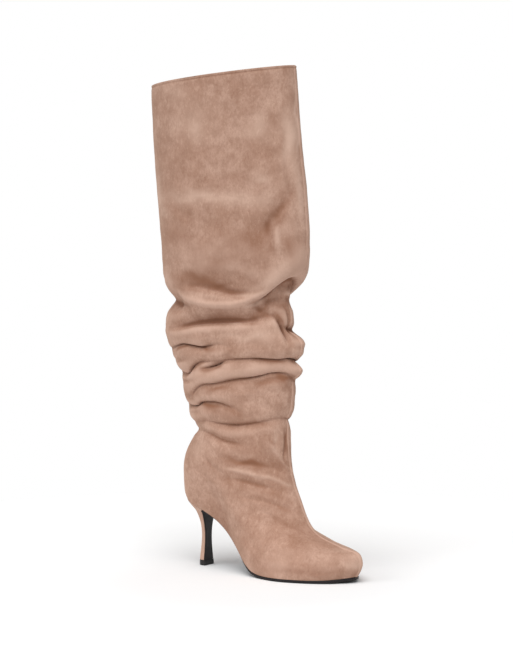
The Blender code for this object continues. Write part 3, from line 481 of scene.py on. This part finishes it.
def fold_at(made, u, z, half_long, half_wide):
    """Inward depth, downward hang and the painted shade down the crease at angle u and height z, all arrays.
    """
    depth = np.zeros_like(z)
    hang = np.zeros_like(z)
    mark = np.zeros_like(z)
    reach = np.sqrt((half_long * np.sin(u)) ** 2 + (half_wide * np.cos(u)) ** 2)
    for up, down, share, crisp, path in made:
        lo = path[:, 1].min() - 5 * max(up, down)
        hi = path[:, 1].max() + 5 * max(up, down)
        rows = np.where((z.max(axis=1) > lo) & (z.min(axis=1) < hi))[0]
        if not len(rows):
            continue
        sl = slice(rows[0], rows[-1] + 1)
        uu, zz, rr = u[sl], z[sl], reach[sl]
        best = np.full(zz.shape, 1e9)
        side = np.zeros_like(zz)
        deep = np.zeros_like(zz)
        for (u0, z0, d0), (u1, z1, d1) in zip(path, path[1:]):
            turn = 2 * math.pi * np.round((uu - (u0 + u1) / 2) / (2 * math.pi))
            px = (uu - turn - u0) * rr
            pz = zz - z0
            ax = (u1 - u0) * rr
            az = z1 - z0
            t = np.clip((px * ax + pz * az) / (ax * ax + az * az + 1e-12), 0, 1)
            gx = px - t * ax
            gz = pz - t * az
            near = np.hypot(gx, gz)
            take = near < best
            best = np.where(take, near, best)
            side = np.where(take, gz, side)
            deep = np.where(take, d0 + (d1 - d0) * t, deep)
        above = 0.5 + 0.5 * np.tanh(side / (0.2 * up))
        v = best / (down + (up - down) * above)
        depth[sl] += deep * crease_shape(v, crisp)
        slit = np.exp(-((best / SLIT) ** 2))
        depth[sl] += SLIT_DEPTH * crisp * crisp * deep * slit
        # painted shade down the crease, where it is deep enough, fading where the fold shades itself
        drawn = smoothstep(*DRAWN_FROM, deep) * (1 - 0.85 * smoothstep(*SHADED_FROM, deep))
        mark[sl] = np.maximum(mark[sl], crisp * drawn * slit)
        hang[sl] += share * deep * above * v * np.exp(1 - 1.6 * v) * HANG_MOST
    return depth, hang, mark


def painted_light_and_nap(u, points, half_long, half_wide):
    """Painted light (above 0) and painted shade (under 0) at each point, with the nap's patches, ragged at
    the edges.
    """
    reach = np.sqrt((half_long * np.sin(u)) ** 2 + (half_wide * np.cos(u)) ** 2)
    z = points[..., 2] + noise_grid(points, 0.020, 11.3) * RAGGED
    drift = noise_grid(points, 0.024, 17.9) * RAGGED
    nap = np.zeros_like(z)
    for degrees, high, half_length, half_width, lean, strength in SHADES:
        turn = (u - math.radians(degrees) + math.pi) % (2 * math.pi) - math.pi
        a = turn * reach + drift
        b = z - high / THOUSAND * HEIGHT
        c, s = math.cos(math.radians(lean)), math.sin(math.radians(lean))
        p = (a * c + b * s) / (half_length / THOUSAND * DEPTH)
        q = (b * c - a * s) / (half_width / THOUSAND * DEPTH)
        nap += strength * np.exp(-(p * p + q * q))
    return nap


def surface_normals(grid):
    """Outward directions at the points of a tube's grid."""
    across = np.roll(grid, -1, 1) - np.roll(grid, 1, 1)
    up = np.gradient(grid, axis=0)
    n = np.cross(across, up)
    return n / (np.linalg.norm(n, axis=2, keepdims=True) + 1e-12)


def blur(a, times):
    """Softens an array over its neighbours, round the ring and along it."""
    for _ in range(times):
        a = (np.roll(a, 1, 1) + 2 * a + np.roll(a, -1, 1)) / 4
        pad = np.concatenate([a[:1], a, a[-1:]], axis=0)
        a = (pad[:-2] + 2 * pad[1:-1] + pad[2:]) / 4
    return a


def noise_grid(points, scale, seed, stretch=(1, 1, 1)):
    """Smooth noise at each point of a grid, between about -1 and 1."""
    flat = points.reshape(-1, 3) * (np.array(stretch) / scale) + seed
    return np.array([noise.noise(Vector(p)) for p in flat]).reshape(points.shape[:2])


def add_object(name, data):
    obj = bpy.data.objects.new(name, data)
    bpy.context.collection.objects.link(obj)
    return obj


def make_mesh(name, points, faces, mat, smooth=True):
    mesh = bpy.data.meshes.new(name)
    mesh.from_pydata([tuple(p) for p in points], [], [tuple(int(i) for i in f) for f in faces])
    mesh.update()
    mesh.materials.append(mat)
    if smooth:
        mesh.polygons.foreach_set("use_smooth", [True] * len(mesh.polygons))
    return add_object(name, mesh)


def add_attribute(obj, name, values):
    """Keeps a number for each point of the mesh, for its material to read."""
    layer = obj.data.attributes.new(name, "FLOAT", "POINT")
    layer.data.foreach_set("value", np.asarray(values, np.float32).ravel())


def tube_faces(rings, n, flip=False):
    """Quads between the rings of a tube, each of n points."""
    i = np.arange(rings - 1)[:, None] * n
    j = np.arange(n)[None, :]
    k = (j + 1) % n
    quads = np.stack([i + j, i + k, i + n + k, i + n + j], axis=-1).reshape(-1, 4)
    return quads[:, ::-1] if flip else quads


def body(spans, count, relief=True):
    """The folded upper: points, angles, fold depths, painted crease shade, half widths, nap and painted
    light and shade.
    """
    ts = [0.0]
    for a, b, n in spans:
        ts.extend(a + (b - a) * (k + 1) / n for k in range(n))
    ts[-1] = len(KEYS) - 1.0
    rings = [spline(KEYS, t) for t in ts]
    u = np.array([line_angles((r[OUTER] + r[INNER]) / 2, (r[INNER - 1] + r[-1]) / 2, count) for r in rings])
    base = np.array([ring_points(r, a) for r, a in zip(rings, u)])
    half_long = np.array([[(r[0] - r[2]) / 2] * u.shape[1] for r in rings])
    half_wide = np.array([[r[WIDEST]] * u.shape[1] for r in rings])
    sideways = 0.35 + 0.65 * np.sin(u) ** 2         # a fold draws the leather sideways less near the seams
    inward = np.stack([-np.sin(u) * sideways, np.cos(u), np.zeros_like(u)], axis=2)
    deep, hang, mark = fold_at(stroke_paths(FOLDS), u, base[..., 2], half_long, half_wide)
    deep2, hang2, mark2 = fold_at(stroke_paths(WRINKLES), u, base[..., 2], half_long, half_wide)
    grid = base + inward * (deep + deep2)[..., None]
    grid[..., 2] -= hang + hang2
    nap = None
    if relief:
        zs = base[..., 2] / HEIGHT
        slack = smoothstep(0.22, 0.34, zs) * (1 - smoothstep(0.56, 0.72, zs))
        soft = sum(noise_grid(base, size, seed, squeeze) * high * (least + more * slack)
                   for size, seed, squeeze, high, least, more in UNEVEN)
        calm = smoothstep(0.0, 0.010, base[..., 2] - feather(-base[..., 1]))
        calm *= 1 - smoothstep(0.97, 0.995, zs)
        grid = grid - inward * (soft * calm)[..., None]
        mark = np.maximum(mark, mark2)
        # painted light and shade, with the nap's paler and darker patches
        nap = painted_light_and_nap(u, base, half_long, half_wide)
    return grid, u, deep, mark, half_wide, nap


def srgb(r, g, b):
    """Linear colour for the usual 0 to 255 values."""
    values = [v / 255 for v in (r, g, b)]
    return tuple(v / 12.92 if v <= 0.04045 else ((v + 0.055) / 1.055) ** 2.4 for v in values) + (1.0,)


class Paint:
    """A Principled material put together node by node."""

    def __init__(self, name, **sockets):
        self.mat = bpy.data.materials.new(name)
        self.mat.use_nodes = True
        self.tree = self.mat.node_tree
        self.shader = self.tree.nodes["Principled BSDF"]
        for key, value in sockets.items():
            self.shader.inputs[key.replace("_", " ").title().replace("Ior", "IOR")].default_value = value
        self.where = self.node("TexCoord", "Object")

    def put(self, socket, value):
        """Links another node's output to the socket, or sets its value."""
        if isinstance(value, bpy.types.NodeSocket):
            self.tree.links.new(value, socket)
        else:
            socket.default_value = value

    def node(self, kind, output, sockets=(), **settings):
        """One output of a new node with these settings and input sockets."""
        made = self.tree.nodes.new("ShaderNode" + kind)
        for key, value in settings.items():
            setattr(made, key, value)
        for key, value in dict(sockets).items():
            self.put(made.inputs[key], value)
        return made.outputs[output]

    def noise(self, size, detail=3.0, rough=0.55, stretch=(1, 1, 1), twist=0.0):
        """Grey noise with blobs of a size in metres."""
        place = self.node("Mapping", "Vector", {"Vector": self.where, "Scale": stretch})
        return self.node("TexNoise", "Fac", {"Vector": place, "Scale": 1 / size, "Detail": detail,
                                             "Roughness": rough, "Distortion": twist})

    def field(self, name):
        """A value kept on the points of the mesh."""
        return self.node("Attribute", "Fac", attribute_name=name)

    def times(self, value, factor):
        return self.node("Math", 0, {0: value, 1: factor}, operation="MULTIPLY")

    def span(self, value, lo, hi, out_lo=0.0, out_hi=1.0):
        """The value eased from one span to another."""
        sockets = enumerate((value, lo, hi, out_lo, out_hi))
        return self.node("MapRange", 0, sockets, interpolation_type="SMOOTHSTEP")

    def mix(self, share, a, b):
        """Colour a, turned into colour b by a share."""
        return self.node("Mix", 2, {0: share, 6: a, 7: b}, data_type="RGBA")

    def bump(self, height, distance, strength=1.0, under=None):
        sockets = {"Distance": distance, "Strength": strength, "Height": height}
        if under is not None:
            sockets["Normal"] = under
        return self.node("Bump", "Normal", sockets)

    def finish(self, colour, rough=None, normal=None):
        self.put(self.shader.inputs["Base Color"], colour)
        if rough is not None:
            self.put(self.shader.inputs["Roughness"], rough)
        if normal is not None:
            self.put(self.shader.inputs["Normal"], normal)
        return self.mat


def suede_material():
    """Brushed suede: cloudy nap patches, fine hairs, painted shade in creases and hollows, painted
    highlights on ridges.
    """
    paint = Paint("suede_taupe", roughness=0.96, sheen_weight=0.42, sheen_roughness=0.40,
                  sheen_tint=srgb(236, 208, 188), specular_ior_level=0.12)
    cloud = paint.noise(0.040, 3.0, 0.55, (1, 1, 0.85), 0.1)
    patch = paint.noise(0.013, 4.0, 0.6, (1, 1, 1.1), 0.15)
    brush = paint.noise(0.0048, 5.0, 0.72, (1.5, 1.5, 0.8), 0.6)
    nap = paint.noise(0.0022, 4.0, 0.7, (1, 1, 0.7))
    grain = paint.noise(0.0005, 3.0, 0.7)
    tone = paint.mix(paint.span(cloud, 0.36, 0.64), srgb(169, 132, 113), srgb(188, 153, 135))
    layers = (
        (paint.span(patch, 0.40, 0.72, 0.0, 0.65), (153, 117, 98)),
        (paint.span(patch, 0.46, 0.22, 0.0, 0.45), (202, 167, 148)),
        (paint.span(brush, 0.50, 0.72, 0.0, 0.50), (148, 108, 87)),
        (paint.span(brush, 0.48, 0.28, 0.0, 0.42), (210, 176, 157)),
        (paint.span(nap, 0.42, 0.66, 0.0, 0.30), (140, 102, 82)),
        (paint.span(grain, 0.4, 0.75, 0.0, 0.18), (200, 164, 145)),
        # painted light and shade of the SHADES table, with the nap's paler and darker patches
        (paint.field("paler"), (214, 182, 164)),
        (paint.field("darker"), (140, 98, 76)),
        # painted highlight on bulges and the seam's ridges; painted shade in hollows, darker on the line of
        # stitches
        (paint.span(paint.field("ridge"), 0.15, 1.0, 0.0, 0.6), (208, 174, 156)),
        (paint.span(paint.field("hollow"), 0.05, 1.0, 0.0, 0.8), (122, 80, 58)),
        # painted shade down the sharp creases
        (paint.times(paint.field("crease"), 0.8), (84, 54, 44)),
    )
    for share, colour in layers:
        tone = paint.mix(share, tone, srgb(*colour))
    normal = paint.bump(nap, 0.00025, 0.5)
    normal = paint.bump(grain, 0.00010, 0.6, normal)
    normal = paint.bump(patch, 0.0008, 0.25, normal)
    return paint.finish(tone, None, normal)


def lining_material():
    """Smooth pale lining leather with fine pores and faint handling marks."""
    paint = Paint("lining_beige", roughness=0.55, specular_ior_level=0.35)
    cloud = paint.noise(0.045, 4.0, 0.6)
    pores = paint.noise(0.0009, 2.0, 0.6)
    tone = paint.mix(paint.span(cloud, 0.35, 0.7), srgb(196, 164, 138), srgb(178, 146, 121))
    tone = paint.mix(paint.span(pores, 0.55, 0.75, 0.0, 0.3), tone, srgb(150, 118, 94))
    rough = paint.span(cloud, 0.3, 0.7, 0.48, 0.66)
    return paint.finish(tone, rough, paint.bump(pores, 0.00012, 0.5))


def sole_material():
    """Black leather sole: satin, with fine grain and scuffs that grey the wearing face."""
    paint = Paint("sole_black", roughness=0.42, specular_ior_level=0.30)
    grain = paint.noise(0.0011, 3.0, 0.6)
    scuff = paint.noise(0.009, 6.0, 0.7, (1.0, 0.35, 1.0), 1.2)
    tone = paint.mix(paint.span(scuff, 0.52, 0.78, 0.0, 0.35), srgb(24, 18, 19), srgb(62, 52, 50))
    rough = paint.span(scuff, 0.4, 0.75, 0.34, 0.62)
    return paint.finish(tone, rough, paint.bump(grain, 0.00015, 0.45))


def tip_material():
    """Hard black top piece under the heel."""
    paint = Paint("tip_rubber", roughness=0.5, specular_ior_level=0.4)
    grain = paint.noise(0.0007, 3.0, 0.65)
    wear = paint.noise(0.003, 5.0, 0.7)
    tone = paint.mix(paint.span(wear, 0.5, 0.8, 0.0, 0.4), srgb(22, 19, 20), srgb(56, 50, 49))
    return paint.finish(tone, paint.span(wear, 0.4, 0.8, 0.45, 0.7), paint.bump(grain, 0.0001, 0.5))


def floor_material():
    """Matt white studio paper with a painted shadow: greyer round the boot, where the field "open" is 0."""
    paint = Paint("studio_paper", roughness=0.9, specular_ior_level=0.1)
    fibre = paint.noise(0.02, 3.0, 0.6)
    # painted shadow: the paper's grey round the boot
    near = paint.mix(fibre, (0.86, 0.86, 0.865, 1), (0.87, 0.87, 0.87, 1))
    return paint.finish(paint.mix(paint.field("open"), near, (0.99, 0.99, 0.99, 1)))


def flat_unit(v):
    """The level direction of each vector."""
    out = v * np.array([1.0, 1.0, 0.0])
    return out / np.linalg.norm(out, axis=-1, keepdims=True)


def seam_shape(d):
    """Height of the seam at a distance from its middle: two ridges with the stitched groove between."""
    ridge = np.exp(-(((np.abs(d) - SEAM_RIDGE) / (0.42 * SEAM_HALF)) ** 2))
    return SEAM * (ridge - 0.25 * np.exp(-((d / (0.3 * SEAM_HALF)) ** 2)))


def build_skin(mat):
    """The suede outside, its rim and the edge turned in over the lining."""
    grid, u, deep, mark, half_wide, nap = body(SKIN_SPANS, SKIN_LINES)
    normal = surface_normals(grid)
    wide = half_wide * np.abs(np.sin(u)) * 1.1          # distance from the middle plane near a seam
    calm = 1 - np.clip(deep / (0.06 * DEPTH), 0, 0.85)  # the seam flattens in the folds
    grid = grid + normal * (seam_shape(wide) * calm)[..., None]
    # painted highlight along the seam's two ridges, fading in the folds
    seam_highlight = np.exp(-(((wide - SEAM_RIDGE) / (0.5 * SEAM_HALF)) ** 2)) * calm
    below = grid[-1, :, 2] - grid[..., 2]               # distance under the collar's edge
    rim_line = np.exp(-(((below - RIM_LINE) / 0.0009) ** 2))
    grid = grid - normal * (RIM_GROOVE * rim_line)[..., None]
    # how far each point stands out of or sinks into its surroundings, for painted highlights and painted
    # shade
    fine = ((grid - blur(grid, 6)) * normal).sum(-1) / FINE_BULGE
    wide_bulge = ((grid - blur(grid, 40)) * normal).sum(-1) / WIDE_BULGE
    bulge = blur(fine + wide_bulge, 3)
    rows, n = grid.shape[:2]
    out = flat_unit(normal[-1])
    mid = grid[-1] - out * (WALL / 2)
    mid[:, 2] -= WALL / 2
    grid[-1, :, 2] -= WALL / 2
    layers = [grid[:-1], grid[-1:]]
    for k in range(1, RIM_STEPS + 1):
        a = math.pi * k / RIM_STEPS
        layer = mid + out * (WALL / 2 * math.cos(a))
        layer[:, 2] += WALL / 2 * math.sin(a)
        layers.append(layer[None])
    inside = layers[-1][0]
    for k in range(1, TURN_STEPS + 1):
        layer = inside.copy()
        layer[:, 2] -= TURNED * k / TURN_STEPS
        layer -= out * 0.0002 * math.sin(math.pi * k / TURN_STEPS)
        layers.append(layer[None])
    every = np.concatenate(layers)
    extra = every.shape[0] - rows
    skin = make_mesh("upper_suede", every.reshape(-1, 3), tube_faces(every.shape[0], n), mat)
    # painted light and shade kept on the points for the suede's colour, with the nap's patches
    fields = (("ridge", bulge + 1.3 * seam_highlight, 0.3), ("hollow", 0.6 * rim_line - bulge, 0.25),
              ("crease", mark, 0), ("paler", nap, 0), ("darker", -nap, 0))
    for name, values, at_rim in fields:
        add_attribute(skin, name, np.concatenate([np.clip(values, 0, 1), np.full((extra, n), at_rim)]))
    return skin


def build_lining(mat):
    """The lining from the collar down to the insole."""
    grid = body(LINING_SPANS, LINING_LINES, relief=False)[0]
    normal = surface_normals(grid)
    normal[0] = flat_unit(normal[0])
    normal[-1] = flat_unit(normal[-1])
    inner = grid - normal * (WALL + BEHIND)
    inner[-1, :, 2] -= TURNED * 0.6
    rows, n = inner.shape[:2]
    return make_mesh("upper_lining", inner.reshape(-1, 3), tube_faces(rows, n, flip=True), mat)


def plan_normals(points):
    """Outward directions in plan along a closed outline."""
    across = np.roll(points, -1, 0) - np.roll(points, 1, 0)
    out = np.stack([across[:, 1], -across[:, 0]], 1)
    out /= np.linalg.norm(out, axis=1, keepdims=True) + 1e-12
    centre = points[:, :2].mean(0)
    return out if np.sum(out * (points[:, :2] - centre)) > 0 else -out


def feather_edge(count):
    """Left and right points of the feather line from the toe back, with their outward directions in plan."""
    u = math.pi * (1 - np.cos(math.pi * np.linspace(0, 1, count))) / 2
    right = ring_points(KEYS[0], u)
    left = ring_points(KEYS[0], -u)
    loop = np.concatenate([right, left[::-1][1:-1]])
    out = plan_normals(loop[:, :2])
    back = np.concatenate([out[:1], out[count:][::-1], out[count - 1:count]])
    return left, right, back, out[:count]


def ribbon(name, sections, mat, sharp=math.radians(50)):
    """A solid strip from closed cross-sections of equal length, capped at both ends."""
    sections = np.array(sections)
    rows, n = sections.shape[:2]
    faces = list(tube_faces(rows, n))
    faces.append(list(range(n))[::-1])
    faces.append([(rows - 1) * n + j for j in range(n)])
    obj = make_mesh(name, sections.reshape(-1, 3), faces, mat)
    tidy(obj, sharp)
    return obj


def tidy(obj, sharp):
    """Joins doubled points, turns the faces outward and keeps the hard edges hard."""
    bm = bmesh.new()
    bm.from_mesh(obj.data)
    bmesh.ops.remove_doubles(bm, verts=bm.verts, dist=0.000005)
    bmesh.ops.dissolve_degenerate(bm, edges=bm.edges, dist=0.000005)
    bmesh.ops.recalc_face_normals(bm, faces=bm.faces)
    bm.to_mesh(obj.data)
    bm.free()
    obj.data.polygons.foreach_set("use_smooth", [True] * len(obj.data.polygons))
    obj.data.set_sharp_from_angle(angle=sharp)


def slab_section(left, right, out_l, out_r, top, low, grow, edge):
    """One cross-section of a thin slab with rounded lower and upper edges."""
    high = top[0] - low[0]
    edge = min(edge, 0.45 * high)
    points = []
    for side, out, z_top, z_low in ((left, out_l, top[0], low[0]), (right, out_r, top[1], low[1])):
        turns = [math.pi / 2 * k / 4 for k in range(5)]
        corner = [(edge * (1 - math.sin(a)), edge * (1 - math.cos(a))) for a in turns]
        rows = [(*(side[:2] + out * (grow - inset)), z_top - drop) for inset, drop in corner]
        rows += [(*(side[:2] + out * (grow - inset)), z_low + rise) for rise, inset in corner]
        points.append(rows)
    lower = [np.array(points[0][-1]), np.array(points[1][-1])]
    upper = [np.array(points[0][0]), np.array(points[1][0])]
    bottom = [lower[0] + (lower[1] - lower[0]) * k / 8 for k in range(1, 8)]
    ceiling = [upper[1] + (upper[0] - upper[1]) * k / 4 for k in range(1, 4)]
    return [*points[0], *bottom, *points[1][::-1], *ceiling]


def sole_at(s):
    """Thickness of the sole and how far its edge is tucked in, at a distance forward."""
    q = (s + BACK) / LENGTH
    return float(curve(*zip(*THICK), q)) * SOLE, float(curve(*zip(*TUCK), q)) * BALL


def at_station(left, right, s):
    """Edges and height of the feather line at a distance forward."""
    z = float(feather(s))
    xl = float(np.interp(-s, left[:, 1], left[:, 0]))
    xr = float(np.interp(-s, right[:, 1], right[:, 0]))
    return xl, xr, z


def build_insole(mat):
    """The sock on the insole board, filling the lower edge of the lining."""
    left, right, out_l, out_r = feather_edge(INSOLE_LINES)
    shrink = -(WALL + GAP)
    sections = []
    for k in range(1, INSOLE_LINES - 1):
        z = [float(feather(-p[1])) + GAP / 2 for p in (left[k], right[k])]
        top = [v + INSOLE_THICK for v in z]
        sections.append(slab_section(left[k], right[k], out_l[k], out_r[k], top, z, shrink, 0.0004))
    return ribbon("insole_sock", sections, mat)


def breast_line():
    """The front face of the heel from the seat down: distance forward, height, half width."""
    zero = float(feather(0.0))
    rows = []
    last = len(BLOCK) - 1
    for t in np.linspace(0, last, 5 * last + 1):
        z, tilt, _, front, half = spline(BLOCK, t)
        s = front * HEEL_HEIGHT
        rows.append((s, z * HEEL_HEIGHT + tilt * (float(feather(s)) - zero), half * HEEL_HEIGHT))
    return rows


def build_outsole(mat):
    """The sole from the toe to the seat, then down the front of the heel as a thin flap."""
    left, right, out_l, out_r = feather_edge(SOLE_LINES)
    s_seat = SEAT_FRONT * HEEL_HEIGHT + 0.5 * NEAR
    keep = [k for k in range(SOLE_LINES) if -left[k, 1] > s_seat + 0.002 and -right[k, 1] > s_seat + 0.002]
    sections = []
    for k in keep:
        s = [-left[k, 1], -right[k, 1]]
        top = [float(feather(v)) - GAP for v in s]
        low = [top[i] - sole_at(s[i])[0] for i in (0, 1)]
        grow = -sole_at(s[0])[1]
        sections.append(slab_section(left[k], right[k], out_l[k], out_r[k], top, low, grow, EDGE))
    xl, xr, z = at_station(left, right, s_seat)
    thick, tuck = sole_at(s_seat)
    side = (np.array([-1.0, 0.0]), np.array([1.0, 0.0]))
    low = z - GAP - thick
    ends = (np.array([xl + tuck, -s_seat]), np.array([xr - tuck, -s_seat]))
    sections.append(slab_section(*ends, *side, (z - GAP,) * 2, (low,) * 2, 0.0, EDGE))
    line = breast_line()
    for k, (s, z, half) in enumerate(line):
        before = line[max(k - 1, 0)]
        after = line[min(k + 1, len(line) - 1)]
        run = np.array([before[0] - after[0], before[1] - after[1]])
        run /= np.linalg.norm(run)
        away = np.array([run[1], -run[0]])
        section = []
        flat = slab_section(
            np.array([-half, 0.0]), np.array([half, 0.0]), *side, (0.0,) * 2, (-FLAP,) * 2, 0.0, 0.45 * FLAP)
        for x, _, down in flat:
            off = GAP * 1.1 - down
            section.append((x, -(s + away[0] * off), z + away[1] * off))
        sections.append(section)
    return ribbon("sole_leather", sections, mat)


def round_back(back, front, a):
    """Distance forward at an angle round a D shape, from one front corner to the other."""
    return front - (front - back) * math.sin(a) ** D_FULL


def d_ring(back, front, half, height_of, angles):
    """A D-shaped ring: round behind, flat in front."""
    ring = []
    for a in angles:
        x = -half * math.cos(a)
        s = round_back(back, front, a)
        ring.append((x, -s, height_of(s)))
    for x in (0.5, 0.0, -0.5):
        ring.append((x * half, -front, height_of(front)))
    return ring


def build_heel(mat):
    """The suede-covered heel: seat, waist and flared foot."""
    left, right, _, _ = feather_edge(SEAT_LINES)
    front = SEAT_FRONT * HEEL_HEIGHT
    zero = float(feather(0.0))
    back = -max(left[:, 1].max(), right[:, 1].max()) + 0.0002
    angles = np.linspace(0, math.pi, 61)
    seat = []
    for a in angles:
        s = round_back(back, front, a)
        xl, xr, z = at_station(left, right, s)
        seat.append((xl if a < math.pi / 2 else xr, -s, z - GAP))
    xl, xr, z = at_station(left, right, front)
    seat += [(xl + (xr - xl) * k / 4, -front, z - GAP) for k in (3, 2, 1)]
    rings = [np.array(seat)]
    last = len(BLOCK) - 1
    for t in np.linspace(0, last, 8 * last + 1):
        z, tilt, b, f, half = spline(BLOCK, t)
        sizes = (b * HEEL_HEIGHT, f * HEEL_HEIGHT, half * HEEL_HEIGHT)
        rings.append(np.array(d_ring(
            *sizes, lambda s, z=z, tilt=tilt: z * HEEL_HEIGHT + tilt * (float(feather(s)) - zero), angles)))
    rings[1:1] = [rings[0] + (rings[1] - rings[0]) * k / 4 for k in range(1, 4)]
    heel = ribbon("heel_covered", rings, mat, math.radians(55))
    add_attribute(heel, "paler", np.full(len(heel.data.vertices), 0.35))
    return heel


def build_tip(mat):
    """The top piece under the heel, with its edges eased."""
    top, back, front, half = (share * HEEL_HEIGHT for share in TIP)
    angles = np.linspace(0, math.pi, 49)
    ease = TIP_EASE
    rings = []
    for z, inset in ((0.0, ease), (0.3 * ease, 0.3 * ease), (ease, 0.0), (0.12 * top + ease, -0.0002),
                     (top - ease, 0.0), (top - 0.3 * ease, 0.2 * ease), (top, ease)):
        rings.append(d_ring(back + inset, front - inset, half - inset, lambda s, z=z: z, angles))
    return ribbon("heel_top_piece", rings, mat, math.radians(60))


FLOOR_ROUND = 0.62              # radius of the white floor
FLOOR_RINGS = 40
FLOOR_LINES = 96
SHADOW_SHIFT = (0.06, 0.04)       # the painted shadow, a grey patch, lies this far to the outer side and toward the toe
SHADOW_ROUND = (0.10, 0.30)       # it is full to the first radius and gone at the second


def build_floor(mat):
    """A round sheet of paper, greyed round the boot by a painted shadow that fades away from it."""
    middle = (cad_box[0] + cad_box[1]) / 2
    turns = 2 * math.pi * np.arange(FLOOR_LINES) / FLOOR_LINES
    reach = FLOOR_ROUND * np.linspace(0.02, 1.0, FLOOR_RINGS)
    x = middle.x + reach[:, None] * np.cos(turns)
    y = middle.y + reach[:, None] * np.sin(turns)
    points = np.stack([x, y, np.zeros_like(x)], -1).reshape(-1, 3)
    faces = list(tube_faces(FLOOR_RINGS, FLOOR_LINES, flip=True)) + [range(FLOOR_LINES)]
    floor = make_mesh("studio_floor", points, faces, mat, smooth=False)
    away = np.hypot(points[:, 0] - middle.x + SHADOW_SHIFT[0], points[:, 1] - middle.y + SHADOW_SHIFT[1])
    add_attribute(floor, "open", smoothstep(*SHADOW_ROUND, away))
    return floor


def turn_to(obj, direction):
    """Points a light or a camera along a direction."""
    obj.rotation_euler = Vector(direction).to_track_quat("-Z", "Y").to_euler()


def area_light(name, place, target, size, power):
    """A softbox at a place, turned to its target."""
    data = bpy.data.lights.new(name, "AREA")
    data.shape = "RECTANGLE"
    data.size, data.size_y = size
    data.energy = power
    light = add_object(name, data)
    light.location = place
    turn_to(light, Vector(target) - Vector(place))


def sun_light(name, towards, power, spread):
    """An even light from far off, with soft shadows."""
    data = bpy.data.lights.new(name, "SUN")
    data.energy = power
    data.angle = math.radians(spread)
    turn_to(add_object(name, data), -Vector(towards))


# The camera stands level with the calf, looking at the outer side from in front.
CAMERA_TURN = math.radians(-53)     # round the boot from the toe's direction to the outer side
CAMERA_AWAY = 2.3                   # level distance from the heel tip
CAMERA_HIGH = CAMERA_AWAY * math.tan(math.radians(9.9))
FOCAL = 1.0032 * CAMERA_AWAY / 0.0011   # focal length in pixels of the 513 x 655 picture
PICTURE = (513, 655)
SENSOR = 36.0
AIM = (51.6, 127.0)                 # middle of the picture right of and below the level axis, in pixels


def build_camera():
    back = Vector((math.sin(CAMERA_TURN), -math.cos(CAMERA_TURN), 0))
    right = Vector((math.cos(CAMERA_TURN), math.sin(CAMERA_TURN), 0))
    data = bpy.data.cameras.new("camera")
    data.sensor_width = SENSOR
    data.sensor_fit = "AUTO"
    data.lens = SENSOR * FOCAL / max(PICTURE)
    camera = add_object("camera", data)
    camera.location = back * CAMERA_AWAY + Vector((0, 0, CAMERA_HIGH))
    turn_to(camera, -back + right * (AIM[0] / FOCAL) - Vector((0, 0, 1)) * (AIM[1] / FOCAL))
    bpy.context.scene.camera = camera


WORLD_LIGHT = 0.42      # strength of the white surroundings as a light; the camera sees them at full white


def build_lights():
    """White surroundings, an even light from above and two softboxes."""
    world = bpy.data.worlds.new("studio")
    world.use_nodes = True
    tree = world.node_tree
    back = tree.nodes["Background"]
    back.inputs["Color"].default_value = (1, 1, 1, 1)
    seen = tree.nodes.new("ShaderNodeLightPath")
    level = tree.nodes.new("ShaderNodeMapRange")
    level.inputs["To Min"].default_value = WORLD_LIGHT
    level.inputs["To Max"].default_value = 1.0
    tree.links.new(seen.outputs["Is Camera Ray"], level.inputs["Value"])
    tree.links.new(level.outputs["Result"], back.inputs["Strength"])
    bpy.context.scene.world = world
    sun_light("top_light", (-0.60, -0.30, 1.5), 2.0, 50)
    area_light("softbox_left", (-2.1, 0.9, 1.2), (0, 0, 0.34), (1.5, 1.5), 16)
    area_light("softbox_front", (-1.6, -2.0, 1.4), (0, 0, 0.3), (1.4, 1.4), 9)


def main():
    suede = suede_material()
    lining = lining_material()
    sole = sole_material()
    pieces = (
        (build_skin(suede), "upper", "suede"),
        (build_lining(lining), "upper", "lining"),
        (build_insole(lining), "insole", "lining"),
        (build_outsole(sole), "outsole", "sole"),
        (build_heel(suede), "heel", "heel_suede"),
        (build_tip(tip_material()), "heel_tip", "top_piece"),
    )
    for piece, node, slot in pieces:
        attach(piece, "root")
        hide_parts(node)
    build_floor(floor_material())
    build_lights()
    build_camera()
    view = bpy.context.scene.view_settings
    view.view_transform = "Standard"
    view.look = "None"


main()
